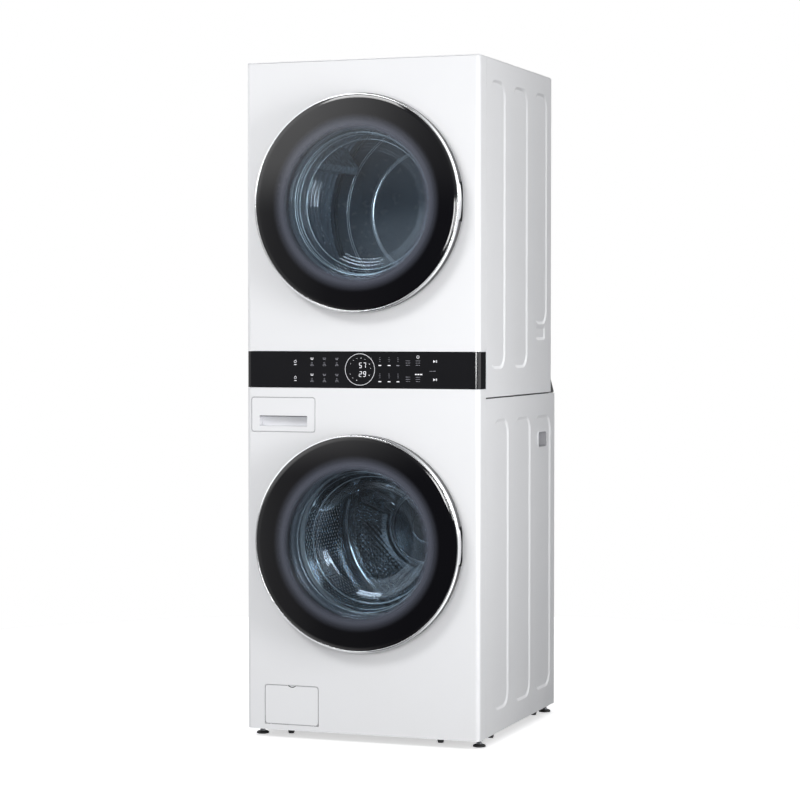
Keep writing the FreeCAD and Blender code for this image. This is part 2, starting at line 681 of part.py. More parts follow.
def washer_door_hook():
    """The latch hook on the washer door, on a pin in the door body."""
    z = WASHER_DOOR_Z
    eye = cyl_z(5.0, HOOK_X, -HOOK_PROUD, z - 7.0, z + 7.0)
    shank = box(HOOK_X - 4.0, HOOK_X + 4.0, -HOOK_PROUD, 18.0, z - 7.0, z + 7.0)
    barb = box(HOOK_X - 9.0, HOOK_X - 3.0, 11.0, 18.0, z - 7.0, z + 7.0)
    bore = cyl_z(HOOK_PIN_R + RUN_CLEAR, HOOK_X, -HOOK_PROUD, z - 8.0, z + 8.0)
    return joined(eye, shank, barb).cut(bore)


def washer_door_frame():
    """The washer's door body with the slot, cheeks and pin for the latch hook, and the hinge leaf."""
    z = WASHER_DOOR_Z
    cheek_half = 8.5
    slot = box(HOOK_X - 12.0, HOOK_X + 11.0, -7.0, -2.0, z - 8.0, z + 8.0)
    cheeks = [
        box(HOOK_X - 7.0, HOOK_X + 7.0, -HOOK_PROUD - 6.0, -6.0, z0, z0 + 4.0)
        for z0 in (z - cheek_half - 4.0, z + cheek_half)
    ]
    pin = cyl_z(HOOK_PIN_R, HOOK_X, -HOOK_PROUD, z - cheek_half, z + cheek_half)
    return [joined(door_frame(z).cut(slot), *cheeks), hinge_leaf(z), pin]


def dryer_striker():
    """The fixed striker on the dryer door."""
    z = DRYER_DOOR_Z
    return box(HOOK_X - 3.0, HOOK_X + 3.0, -6.0, 16.0, z - 6.0, z + 6.0)


def latch_receiver(z, d1):
    """The latch box behind a front panel, open towards the door."""
    outer = box(HOOK_X - 15.5, HOOK_X + 24.0, SHEET, d1, z - 24.0, z + 24.0)
    inner = box(HOOK_X - 13.0, HOOK_X + 21.0, SHEET - 1.0, d1 - 3.0, z - 15.0, z + 15.0)
    return outer.cut(inner)


# ---------------------------------------------------------------- washer tub and drum
def door_gasket():
    """The rubber bellows between the front panel and the tub."""
    return spin(
        [
            (204.0, -1.0), (213.4, -1.0), (213.4, 2.0), (220.0, 2.0), (220.0, 6.0), (216.0, 10.0),
            (216.0, 24.0), (230.0, 30.0), (230.0, 38.0), (213.0, 44.0), (217.0, 54.0), (217.0, 61.6),
            (206.5, 61.6), (206.5, 52.0), (208.0, 41.0), (224.0, 35.0), (224.0, 33.0), (208.0, 28.0),
            (204.0, 14.0),
        ],
        WASHER_DOOR_Z,
    )


def tub_front_shell():
    r = TUB_R
    w = TUB_WALL
    m = TUB_MOUTH_R
    shell = spin(
        [
            (m, TUB_FRONT), (m + 10.0, TUB_FRONT), (m + 10.0, 78.0), (r - 14.0, 78.0), (r, 92.0),
            (r, TUB_SPLIT - 6.0), (r + 8.0, TUB_SPLIT - 6.0), (r + 8.0, TUB_SPLIT), (r - w, TUB_SPLIT),
            (r - w, 94.0), (r - w - 10.0, 83.0), (m, 83.0),
        ],
        WASHER_DOOR_Z,
    )
    ears = [damper_ear(s * DAMPER_X, DAMPER_D[0]) for s in (-1, 1)]
    hollow = cyl_y(r - w, 0, WASHER_DOOR_Z, 95.0, TUB_SPLIT)
    return joined(shell, *[ear.cut(hollow) for ear in ears])


def damper_ear(x, depth):
    return box(x - 13.0, x + 13.0, depth - 13.0, depth + 13.0, DAMPER_EAR_Z, 350.0)


def tub_rear_shell():
    r = TUB_R
    w = TUB_WALL
    back = TUB_BACK
    shell = spin(
        [
            (r - w, TUB_SPLIT), (r + 8.0, TUB_SPLIT), (r + 8.0, TUB_SPLIT + 6.0), (r, TUB_SPLIT + 6.0),
            (r, back - 14.0), (r - 14.0, back), (46.0, back), (46.0, 664.0),
            (BEARING_R + RUN_CLEAR, 664.0), (BEARING_R + RUN_CLEAR, 592.0), (60.0, 592.0),
            (90.0, back - 6.0), (r - 20.0, back - 6.0), (r - w, back - 20.0),
        ],
        WASHER_DOOR_Z,
    )
    hollow = cyl_y(r - w, 0, WASHER_DOOR_Z, TUB_SPLIT, back - 22.0)
    ears = [damper_ear(s * DAMPER_X, DAMPER_D[1]) for s in (-1, 1)]
    ears += [
        box(s * SPRING_X - 12.0, s * SPRING_X + 12.0, SPRING_D - 10.0, SPRING_D + 10.0, 715.0, 780.0)
        for s in (-1, 1)
    ]
    return joined(shell, *[ear.cut(hollow) for ear in ears])


def tub_counterweights():
    """Two cast blocks on the front of the tub, above and below the mouth."""
    z = WASHER_DOOR_Z
    d0 = 42.0
    ring = spin([(226.0, d0), (294.0, d0), (294.0, 77.6), (226.0, 77.6)], z)
    # each block is the part of the ring inside a wedge, clear of the latch and the hinge
    tip = 30.0
    reach = 340.0
    side = tip + reach * math.tan(math.radians(24.0))
    outline = [(0.0, tip), (reach, side), (reach, reach), (-reach, reach), (-reach, side)]
    blocks = []
    for sign in (1, -1):
        corners = [V(x, at(d0 - 2.0), z + sign * rise) for x, rise in outline]
        wedge = Part.Face(Part.makePolygon(corners + corners[:1])).extrude(V(0, 40.0, 0))
        blocks.append(ring.common(wedge))
    return blocks


def suspension_springs():
    """The two tub springs, as plain sleeves of the coil's outer size."""
    z0 = 780.3
    return [
        cyl_z(SPRING_R, s * SPRING_X, SPRING_D, z0, SEAM_Z - 3.0).cut(
            cyl_z(SPRING_R - 4.0, s * SPRING_X, SPRING_D, z0 - 1.0, SEAM_Z)
        )
        for s in (-1, 1)
    ]


def damper_places():
    return [(s * DAMPER_X, d) for s in (-1, 1) for d in DAMPER_D]


def damper_cylinders():
    pieces = []
    for x, d in damper_places():
        body = cyl_z(14.0, x, d, BASE_Z + 1.6, 170.0)
        pieces.append(body.cut(cyl_z(10.5, x, d, 42.0, 171.0)))
    return pieces


def damper_rods():
    return [cyl_z(9.0, x, d, 72.0, DAMPER_EAR_Z) for x, d in damper_places()]


def washer_drum():
    """The drum shell: rolled front lip, cylinder with two stiffening beads, pressed back."""
    r = DRUM_R
    w = DRUM_WALL
    f = DRUM_FRONT
    b = DRUM_BACK
    m = DRUM_MOUTH_R
    bead = 4.0
    outer = [
        (m, f + 10.0), (m, f + 2.0), (m + 3.0, f - 1.0), (r - 18.0, f - 1.0), (r, f + 12.0), (r, f + 30.0),
        (r - bead, f + 36.0), (r - bead, f + 42.0), (r, f + 48.0), (r, b - 48.0), (r - bead, b - 42.0),
        (r - bead, b - 36.0), (r, b - 30.0), (r, b - 12.0), (r - 12.0, b), (150.0, b), (110.0, b - 10.0),
        (0.0, b - 14.0),
    ]
    inner = [
        (0.0, b - 14.0 - w), (110.0, b - 10.0 - w), (150.0, b - w), (r - 12.7, b - w), (r - w, b - 12.7),
        (r - w, b - 30.7), (r - bead - w, b - 36.7), (r - bead - w, b - 41.3), (r - w, b - 47.3),
        (r - w, f + 47.3), (r - bead - w, f + 41.3), (r - bead - w, f + 36.7), (r - w, f + 30.7),
        (r - w, f + 12.7), (r - 18.6, f - 1.0 + w), (m + 3.6, f - 1.0 + w), (m + w, f + 2.8),
        (m + w, f + 10.0),
    ]
    return spin(outer + inner, WASHER_DOOR_Z)


def wedge_bar(z, base, top, base_half, top_half, d0, d1):
    """A bar along the drum whose section is wide at radius base and narrow at radius top."""
    corners = [
        V(base, at(d0), z - base_half),
        V(top, at(d0), z - top_half),
        V(top, at(d0), z + top_half),
        V(base, at(d0), z + base_half),
    ]
    return Part.Face(Part.makePolygon(corners + corners[:1])).extrude(V(0, d1 - d0, 0))


def lifters(z, r_base, height, base_half, top_half, d0, d1, start, wall=1.5):
    """Three hollow lifters inside a drum, each a wedge-shaped rib along the wall."""
    top = r_base - height
    solid = wedge_bar(z, r_base - 5.0, top, base_half, top_half, d0, d1)
    crest = [e for e in solid.Edges if abs(e.BoundBox.XMax - top) < 0.01 and e.BoundBox.XLength < 0.01]
    solid = solid.makeFillet(min(top_half * 0.8, 12.0), crest)
    hollow = wedge_bar(
        z, r_base - 2.0, top + wall, base_half - wall * 1.4, top_half - wall, d0 + wall, d1 - wall
    )
    solid = solid.cut(hollow)
    pieces = []
    for turn in (0, 120, 240):
        piece = solid.copy()
        piece.rotate(V(0, 0, z), V(0, 1, 0), start + turn)
        pieces.append(piece)
    return pieces


def drum_spider():
    """The cast cross behind the drum, the shaft and the two bearings on it."""
    hub = cyl_y(44.0, 0, WASHER_DOOR_Z, DRUM_BACK - 8.0, 588.0)
    arms = []
    for turn in (30, 150, 270):
        arm = box(-22.0, 22.0, DRUM_BACK, 582.0, WASHER_DOOR_Z, WASHER_DOOR_Z + 250.0)
        arm.rotate(V(0, 0, WASHER_DOOR_Z), V(0, 1, 0), turn)
        arms.append(arm)
    cross = joined(hub, *arms).cut(cyl_y(SHAFT_R, 0, WASHER_DOOR_Z, DRUM_BACK, 590.0))
    shaft = cyl_y(SHAFT_R, 0, WASHER_DOOR_Z, DRUM_BACK + 2.0, 696.0)
    bearings = [
        cyl_y(BEARING_R, 0, WASHER_DOOR_Z, d0, d0 + 18.0).cut(
            cyl_y(SHAFT_R, 0, WASHER_DOOR_Z, d0 - 1.0, d0 + 19.0)
        )
        for d0 in (594.0, 634.0)
    ]
    return [cross, shaft] + bearings


def motor_stator():
    """The ring of wound poles on the back of the tub."""
    core = cyl_y(96.0, 0, WASHER_DOOR_Z, 658.0, 680.0).cut(cyl_y(46.0, 0, WASHER_DOOR_Z, 657.0, 681.0))
    poles = []
    for i in range(POLES):
        pole = box(-7.0, 7.0, 661.0, 677.0, WASHER_DOOR_Z + 90.0, WASHER_DOOR_Z + 122.0)
        pole.rotate(V(0, 0, WASHER_DOOR_Z), V(0, 1, 0), i * 360.0 / POLES)
        poles.append(pole)
    return joined(core, *poles)


def motor_rotor():
    """The cup with its magnet ring, on the end of the shaft."""
    return spin(
        [
            (SHAFT_R, 686.0), (124.0, 686.0), (124.0, 658.0), (138.0, 658.0), (138.0, 690.0),
            (30.0, 690.0), (30.0, 695.0), (SHAFT_R, 695.0),
        ],
        WASHER_DOOR_Z,
    )


# ---------------------------------------------------------------- dryer
def dryer_front_bulkhead():
    """The moulding between the front panel and the drum, with the lint filter's chute."""
    z = DRYER_DOOR_Z
    neck = spin(
        [
            (NECK_R, SHEET), (230.0, SHEET), (230.0, 4.0), (NECK_R + 4.0, 4.0), (NECK_R + 4.0, 88.0),
            (309.0, 88.0), (309.0, 84.0), (313.0, 84.0), (313.0, 116.0), (309.5, 116.0), (309.5, 92.0),
            (NECK_R, 92.0),
        ],
        z,
    )
    chute = box(-110.0, 110.0, 62.0, 88.0, 1000.0, 1320.0)
    shaft = box(-107.0, 107.0, 64.5, 85.5, 1003.0, 1330.0)
    mouth = cyl_y(NECK_R, 0, z, 50.0, 100.0)
    inlet = cyl_y(45.0, MOTOR_X, MOTOR_Z, 80.0, 90.0)
    return joined(neck, chute.cut(mouth)).cut([shaft, inlet])


def lint_filter():
    """The filter frame with a grip along its top."""
    frame = box(-104.0, 104.0, 68.0, 82.0, 1146.0, 1284.0)
    windows = [box(x0, x0 + 60.0, 67.0, 83.0, 1156.0, 1262.0) for x0 in (-96.0, -30.0, 36.0)]
    mesh = box(-98.0, 98.0, 74.0, 75.2, 1150.0, 1264.0)
    grip = box(-30.0, 30.0, 67.0, 73.0, 1271.0, 1285.0)
    return joined(frame.cut(windows), mesh).cut(grip)


def dryer_drum():
    """The drum: an open cylinder with beads and a rolled edge at each end."""
    r = DRYER_DRUM_R
    w = DRYER_DRUM_WALL
    bead = 3.0
    f = DRYER_DRUM_FRONT
    b = DRYER_DRUM_BACK
    outer = [(r, f)]
    inner = [(r - w, f)]
    for centre in DRYER_BEADS:
        for offset, drop in ((-9.0, 0.0), (-5.0, bead), (5.0, bead), (9.0, 0.0)):
            outer.append((r - drop, centre + offset))
            inner.append((r - w - drop, centre + offset))
    outer.append((r, b))
    inner.append((r - w, b))
    return spin(outer + inner[::-1], DRYER_DOOR_Z)


def rear_roller_z():
    reach = DRYER_DRUM_R + ROLLER_R + ROLLER_GAP
    return DRYER_DOOR_Z - math.sqrt(reach**2 - ROLLER_X**2)


def dryer_rear_bulkhead():
    """The plate that closes the drum at the back, and the two roller axles on it."""
    z = DRYER_DOOR_Z
    plate = slab_y(-330.0, 330.0, 1132.0, 1832.0, 40.0, 600.0, 601.0)
    rim = spin([(306.0, 586.0), (308.0, 586.0), (308.0, 600.0), (306.0, 600.0)], z)
    dish = spin([(0.0, 596.0), (188.0, 596.0), (196.0, 600.0), (0.0, 600.0)], z)
    holes = [
        cyl_y(7.0, 90.0 + 28.0 * i, z - 160.0 + 28.0 * j, 590.0, 610.0) for i in range(6) for j in range(9)
    ]
    plate = joined(plate, rim, dish).cut(holes)
    axles = []
    for x in (-ROLLER_X, ROLLER_X):
        axles.append(cyl_y(6.0, x, rear_roller_z(), 562.0, 600.0))
    return [plate] + axles


def drum_roller(x):
    """A drum roller with a rubber-width tread."""
    z = rear_roller_z()
    return spin(
        [
            (6.0 + RUN_CLEAR, 564.0), (11.0, 564.0), (11.0, 568.0), (ROLLER_R, 568.0), (ROLLER_R, 590.0),
            (11.0, 590.0), (11.0, 596.0), (6.0 + RUN_CLEAR, 596.0),
        ],
        z,
        x,
    )


def tangent_loop(r1, x1, z1, r2, x2, z2, d0, d1):
    """The solid inside a belt that runs round two circles."""
    dx = x2 - x1
    dz = z2 - z1
    dist = math.hypot(dx, dz)
    aim = math.atan2(dz, dx)
    spread = math.acos((r1 - r2) / dist)

    def p(x, z, r, a):
        return V(x + r * math.cos(a), at(d0), z + r * math.sin(a))

    a0 = aim + spread
    a1 = aim - spread
    big = Part.Arc(p(x1, z1, r1, a0), p(x1, z1, r1, aim + math.pi), p(x1, z1, r1, a1)).toShape()
    small = Part.Arc(p(x2, z2, r2, a1), p(x2, z2, r2, aim), p(x2, z2, r2, a0)).toShape()
    down = Part.LineSegment(p(x1, z1, r1, a1), p(x2, z2, r2, a1)).toShape()
    up = Part.LineSegment(p(x2, z2, r2, a0), p(x1, z1, r1, a0)).toShape()
    return Part.Face(Part.Wire([big, down, small, up])).extrude(V(0, d1 - d0, 0)), a1


def drive_belt():
    """The belt round the drum and the motor pulley."""
    r1 = DRYER_DRUM_R + BELT_GAP
    r2 = PULLEY_R + BELT_GAP
    centre = (0.0, DRYER_DOOR_Z)
    outer, _ = tangent_loop(
        r1 + BELT_T, *centre, r2 + BELT_T, MOTOR_X, MOTOR_Z, BELT_D0, BELT_D1
    )
    inner, _ = tangent_loop(r1, *centre, r2, MOTOR_X, MOTOR_Z, BELT_D0 - 1.0, BELT_D1 + 1.0)
    return outer.cut(inner)


def idler_centre():
    """The idler touches the belt's outside, half-way along its left-hand run."""
    r1 = DRYER_DRUM_R + BELT_GAP + BELT_T
    r2 = PULLEY_R + BELT_GAP + BELT_T
    _, a = tangent_loop(r1, 0.0, DRYER_DOOR_Z, r2, MOTOR_X, MOTOR_Z, 0.0, 1.0)
    n = (math.cos(a), math.sin(a))
    middle_x = (r1 * n[0] + MOTOR_X + r2 * n[0]) / 2
    middle_z = (DRYER_DOOR_Z + r1 * n[1] + MOTOR_Z + r2 * n[1]) / 2
    off = IDLER_R + BELT_GAP
    return middle_x + n[0] * off, middle_z + n[1] * off


def idler_pulley():
    x, z = idler_centre()
    return spin(
        [
            (5.0 + RUN_CLEAR, 299.0), (IDLER_R + 3.0, 299.0), (IDLER_R + 3.0, 300.4), (IDLER_R, 300.6),
            (IDLER_R, 317.4), (IDLER_R + 3.0, 317.6), (IDLER_R + 3.0, 319.0), (5.0 + RUN_CLEAR, 319.0),
        ],
        z,
        x,
    )


def blower_wheel():
    """The fan, the motor's shaft and the belt pulley, which turn as one."""
    shaft_r = 6.0
    disc = cyl_y(86.0, MOTOR_X, MOTOR_Z, 146.0, 149.0)
    blades = []
    for i in range(BLADES):
        blade = box(MOTOR_X - 1.5, MOTOR_X + 1.5, 100.0, 147.0, MOTOR_Z + 50.0, MOTOR_Z + 84.0)
        blade.rotate(V(MOTOR_X, 0, MOTOR_Z + 50.0), V(0, 1, 0), 28.0)
        blade.rotate(V(MOTOR_X, 0, MOTOR_Z), V(0, 1, 0), i * 360.0 / BLADES)
        blades.append(blade)
    hub = cyl_y(15.0, MOTOR_X, MOTOR_Z, 118.0, 147.0)
    wheel = joined(disc, hub, *blades).cut(cyl_y(shaft_r, MOTOR_X, MOTOR_Z, 90.0, 160.0))
    shaft = cyl_y(shaft_r, MOTOR_X, MOTOR_Z, 116.0, 324.0)
    pulley = cyl_y(PULLEY_R, MOTOR_X, MOTOR_Z, 299.0, 319.0).cut(
        cyl_y(shaft_r, MOTOR_X, MOTOR_Z, 290.0, 330.0)
    )
    return [wheel, shaft, pulley]


def dryer_motor():
    """Motor, blower housing and idler bracket, each on the deck."""
    deck = SEAM_Z + DECK_HALF
    shaft_hole = cyl_y(6.0 + RUN_CLEAR, MOTOR_X, MOTOR_Z, 160.0, 300.0)
    can = cyl_y(52.0, MOTOR_X, MOTOR_Z, 172.0, 288.0)
    cradle = box(MOTOR_X - 40.0, MOTOR_X + 44.0, 190.0, 270.0, deck, MOTOR_Z - 30.0)
    cradle = cradle.cut(box(MOTOR_X - 37.0, MOTOR_X + 41.0, 189.0, 271.0, deck + 3.0, MOTOR_Z - 53.0))
    winding_space = cyl_y(46.0, MOTOR_X, MOTOR_Z, 178.0, 282.0)
    motor = joined(can.cut(winding_space), cradle.cut(can)).cut(shaft_hole)
    scroll = cyl_y(98.0, MOTOR_X, MOTOR_Z, 89.0, 160.0)
    scroll = scroll.fuse(
        box(EXHAUST_X - 55.0, EXHAUST_X + 60.0, 89.0, 160.0, EXHAUST_Z - 55.0, EXHAUST_Z + 55.0)
    )
    hollow = cyl_y(96.0, MOTOR_X, MOTOR_Z, 91.0, 158.0)
    hollow = hollow.fuse(
        box(EXHAUST_X - 53.0, EXHAUST_X + 62.0, 91.0, 158.0, EXHAUST_Z - 53.0, EXHAUST_Z + 53.0)
    )
    eye = cyl_y(45.0, MOTOR_X, MOTOR_Z, 80.0, 95.0)
    outlet = cyl_y(DUCT_R - DUCT_WALL, EXHAUST_X, EXHAUST_Z, 150.0, 165.0)
    shaft_way = cyl_y(9.0, MOTOR_X, MOTOR_Z, 150.0, 165.0)
    housing = scroll.cut([hollow, eye, outlet, shaft_way]).removeSplitter()
    ix, iz = idler_centre()
    post = box(ix - 30.0, ix - 18.0, 323.0, 328.0, deck, iz + 8.0)
    arm = box(ix - 30.0, ix + 8.0, 323.0, 328.0, iz - 8.0, iz + 8.0)
    axle = cyl_y(5.0, ix, iz, 297.0, 323.0)
    return [motor, housing, joined(post, arm, axle)]


def exhaust_duct():
    """The round duct along the deck, and the wider spigot behind the dryer."""
    end = WASHER_DEPTH - 2.0
    tube = cyl_y(DUCT_R, EXHAUST_X, EXHAUST_Z, 160.3, end)
    spigot = cyl_y(EXHAUST_R, EXHAUST_X, EXHAUST_Z, SPIGOT_D, end)
    bore = cyl_y(DUCT_R - DUCT_WALL, EXHAUST_X, EXHAUST_Z, 159.0, end + 1.0)
    mouth = cyl_y(EXHAUST_R - DUCT_WALL, EXHAUST_X, EXHAUST_Z, SPIGOT_D + DUCT_WALL, end + 1.0)
    return joined(tube, spigot).cut([bore, mouth])


def heater_duct():
    """The box behind the bulkhead that heats the air and blows it into the drum."""
    outer = box(70.0, 250.0, 601.0, 664.0, 1010.0, 1600.0)
    inner = box(71.0, 249.0, 602.0, 663.0, 1011.0, 1599.0)
    inlet = box(90.0, 230.0, 640.0, 670.0, 1020.0, 1080.0)
    mouth = box(80.0, 240.0, 600.0, 604.0, DRYER_DOOR_Z - 168.0, DRYER_DOOR_Z + 72.0)
    return outer.cut([inner, inlet, mouth])


# ---------------------------------------------------------------- build
def build():
    os.makedirs("parts", exist_ok=True)

    # washer cabinet
    save("washer_base_tray", *washer_base_tray())
    save("base_bumpers", *base_bumpers())
    for name, (x, depth) in feet_places().items():
        save("foot_" + name, *levelling_foot(x, depth))
    washer_fields = [field + (FIELD_CORNER,) for field in WASHER_FIELDS]
    washer_side = side_panel(WASHER_DEPTH, BASE_Z, SEAM_Z - SEAM_HALF, washer_fields, WASHER_GRIP)
    save("washer_right_panel", washer_side)
    save("washer_left_panel", mirror_x(washer_side))
    save("washer_rear_panel", washer_rear_panel())
    save("washer_front_panel", washer_front_panel())
    save("water_connections", *water_connections())
    save("deck_frame", deck_frame())

    # drawer, filter hatch and pump
    save("drawer_front", drawer_front())
    save("detergent_tray", detergent_tray())
    save("dispenser_housing", dispenser_housing())
    save("drain_filter_hatch", drain_filter_hatch())
    save("drain_filter_cap", drain_filter_cap())
    save("drain_pump", drain_pump())

    # tub, drum and motor
    save("door_gasket", door_gasket())
    save("tub_front_shell", tub_front_shell())
    save("tub_rear_shell", tub_rear_shell())
    save("tub_counterweights", *tub_counterweights())
    save("suspension_springs", *suspension_springs())
    save("damper_cylinders", *damper_cylinders())
    save("damper_rods", *damper_rods())
    save("washer_drum", washer_drum())
    save("washer_drum_lifters", *lifters(WASHER_DOOR_Z, DRUM_R - DRUM_WALL, 56.0, 46.0, 16.0, 142.0, 508.0, -35))
    save("drum_spider", *drum_spider())
    save("motor_stator", motor_stator())
    save("motor_rotor", motor_rotor())

    # doors
    save("washer_door_frame", *washer_door_frame())
    save("dryer_door_frame", joined(door_frame(DRYER_DOOR_Z), dryer_striker()), hinge_leaf(DRYER_DOOR_Z))
    for machine, z, bowl in (("washer", WASHER_DOOR_Z, WASHER_BOWL), ("dryer", DRYER_DOOR_Z, DRYER_BOWL)):
        save(machine + "_door_ring", door_ring(z))
        save(machine + "_door_glass", door_glass(z))
        save(machine + "_door_bowl", door_bowl(z, bowl))
    save("washer_door_hook", washer_door_hook())
    save("door_hinge_brackets", *hinge_bracket(WASHER_DOOR_Z), *hinge_bracket(DRYER_DOOR_Z))
    save("door_latch_receivers", latch_receiver(WASHER_DOOR_Z, 38.0), latch_receiver(DRYER_DOOR_Z, 26.0))

    # control strip
    housing, glass = control_strip()
    save("control_strip_housing", housing)
    save("control_strip_glass", glass)

    # dryer cabinet
    dryer_fields = [field + (FIELD_CORNER,) for field in DRYER_FIELDS] + [DRYER_DIMPLE + (DIMPLE_CORNER,)]
    dryer_side = side_panel(DRYER_DEPTH, SEAM_Z + SEAM_HALF, PANEL_TOP, dryer_fields)
    save("dryer_right_panel", dryer_side)
    save("dryer_left_panel", mirror_x(dryer_side))
    save("dryer_rear_panel", dryer_rear_panel())
    save("dryer_front_panel", dryer_front_panel())
    save("dryer_top_cover", dryer_top_cover())

    # dryer drum and drive
    save("dryer_front_bulkhead", dryer_front_bulkhead())
    save("lint_filter", lint_filter())
    save("dryer_drum", dryer_drum())
    save(
        "dryer_drum_lifters",
        *lifters(DRYER_DOOR_Z, DRYER_DRUM_R - DRYER_DRUM_WALL - 3.0, 66.0, 40.0, 14.0, 128.0, 560.0, 90),
    )
    save("dryer_rear_bulkhead", *dryer_rear_bulkhead(), heater_duct())
    save("drum_roller_left", drum_roller(-ROLLER_X))
    save("drum_roller_right", drum_roller(ROLLER_X))
    save("drive_belt", drive_belt())
    save("idler_pulley", idler_pulley())
    save("blower_wheel", *blower_wheel())
    save("dryer_motor_and_blower", *dryer_motor())
    save("exhaust_duct", exhaust_duct())


build()
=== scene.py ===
"""Washer dryer stack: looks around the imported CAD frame. Everything is in metres, in the frame of the CAD."""
import json
from math import acos, asin, atan2, cos, degrees, exp, hypot, pi, radians, sin, sqrt, tau

import bmesh
import bpy
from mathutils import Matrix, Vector


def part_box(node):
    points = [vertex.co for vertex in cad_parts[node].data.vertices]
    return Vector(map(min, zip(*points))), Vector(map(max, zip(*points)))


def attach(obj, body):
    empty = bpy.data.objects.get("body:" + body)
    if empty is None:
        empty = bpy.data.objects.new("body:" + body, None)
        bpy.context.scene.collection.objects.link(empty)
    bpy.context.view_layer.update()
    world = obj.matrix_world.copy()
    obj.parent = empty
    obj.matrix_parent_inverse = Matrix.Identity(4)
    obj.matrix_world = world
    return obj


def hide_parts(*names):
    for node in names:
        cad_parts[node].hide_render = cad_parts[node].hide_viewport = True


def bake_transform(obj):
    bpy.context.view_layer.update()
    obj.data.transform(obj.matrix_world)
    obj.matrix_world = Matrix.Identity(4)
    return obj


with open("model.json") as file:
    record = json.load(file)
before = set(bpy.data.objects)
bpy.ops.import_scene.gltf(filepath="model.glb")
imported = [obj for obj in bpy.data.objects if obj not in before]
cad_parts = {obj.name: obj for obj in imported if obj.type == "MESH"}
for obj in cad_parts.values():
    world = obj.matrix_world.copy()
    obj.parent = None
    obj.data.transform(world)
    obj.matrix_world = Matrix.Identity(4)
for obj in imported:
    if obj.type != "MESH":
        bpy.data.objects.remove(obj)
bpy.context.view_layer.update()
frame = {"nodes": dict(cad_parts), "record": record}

MM = 0.001
NODES = frame["nodes"]
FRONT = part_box("washer_front_panel")[0].y
WASHER_Z = sum(c.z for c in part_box("washer_door_glass")) / 2
DRYER_Z = sum(c.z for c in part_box("dryer_door_glass")) / 2
GLASS_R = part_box("washer_door_glass")[1].x
STRIP_LOW, STRIP_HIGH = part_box("control_strip_glass")
STRIP_Z = (STRIP_LOW.z + STRIP_HIGH.z) / 2


# ---------------- materials

class Tree:
    """Builds the node tree of a material or of the world."""

    def __init__(self, owner, output):
        owner.use_nodes = True
        self.tree = owner.node_tree
        self.tree.nodes.clear()
        self.out = self.add(output)

    def add(self, kind, inputs=(), **values):
        """A node with these settings, and a value or a link for each of these inputs."""
        node = self.tree.nodes.new("ShaderNode" + kind)
        for key, value in values.items():
            setattr(node, key, value)
        for key, value in dict(inputs).items():
            self.put(node.inputs[key], value)
        return node

    def put(self, socket, value):
        if isinstance(value, bpy.types.NodeSocket):
            self.tree.links.new(value, socket)
        elif socket.type == "RGBA":
            socket.default_value = (*value[:3], 1.0)
        else:
            socket.default_value = value

    def math(self, operation, a, b=0.0, clamp=False):
        return self.add("Math", {0: a, 1: b}, operation=operation, use_clamp=clamp).outputs[0]

    def times(self, a, b):
        return self.math("MULTIPLY", a, b)

    def plus(self, a, b):
        return self.math("ADD", a, b)

    def mix(self, factor, a, b):
        return self.add("MixShader", {0: factor, 1: a, 2: b}).outputs[0]


class Nodes(Tree):
    """The node tree of one material, with places measured on the object."""

    def __init__(self, name):
        self.material = bpy.data.materials.new(name)
        super().__init__(self.material, "OutputMaterial")
        self.place = self.add("TexCoord").outputs["Object"]

    def scaled(self, scale):
        """The place on the object, stretched by scale along each axis."""
        return self.add("Mapping", {"Vector": self.place, "Scale": scale}).outputs["Vector"]

    def noise(self, scale, detail=3.0, stretch=(1, 1, 1), roughness=0.5):
        inputs = {"Vector": self.scaled(stretch), "Scale": scale, "Detail": detail, "Roughness": roughness}
        return self.add("TexNoise", inputs).outputs["Fac"]

    def spread(self, value, low, high, to_low=0.0, to_high=1.0):
        """Maps low..high to to_low..to_high, clamped and smooth."""
        inputs = {"Value": value, "From Min": low, "From Max": high, "To Min": to_low, "To Max": to_high}
        return self.add("MapRange", inputs, interpolation_type="SMOOTHSTEP").outputs["Result"]

    def blend(self, factor, a, b):
        return self.add("Mix", {0: factor, 6: a, 7: b}, data_type="RGBA").outputs[2]

    def axis(self, index):
        return self.add("SeparateXYZ", {0: self.place}).outputs[index]

    def radius(self, height):
        """Distance from the door's own axis, which runs along Y at this height."""
        x = self.axis(0)
        z = self.math("SUBTRACT", self.axis(2), height)
        square = self.plus(self.times(x, x), self.times(z, z))
        return self.math("SQRT", square)

    def bump(self, height, strength, distance=0.001, **more):
        inputs = {"Strength": strength, "Distance": distance, "Height": height, **more}
        return self.add("Bump", inputs).outputs["Normal"]

    def done(self, base, roughness, metallic=0.0, **more):
        """Ends the tree with a principled shader. An underscore in a name of more stands for a space."""
        return self.end(self.principled(base, roughness, metallic, **more))

    def principled(self, base, roughness, metallic=0.0, **more):
        inputs = {"Base Color": base, "Roughness": roughness, "Metallic": metallic}
        inputs.update({key.replace("_", " "): value for key, value in more.items()})
        return self.add("BsdfPrincipled", inputs).outputs[0]

    def end(self, shader):
        self.put(self.out.inputs["Surface"], shader)
        return self.material


def shaded(rgb, factor):
    return tuple(min(1.0, c * factor) for c in rgb)


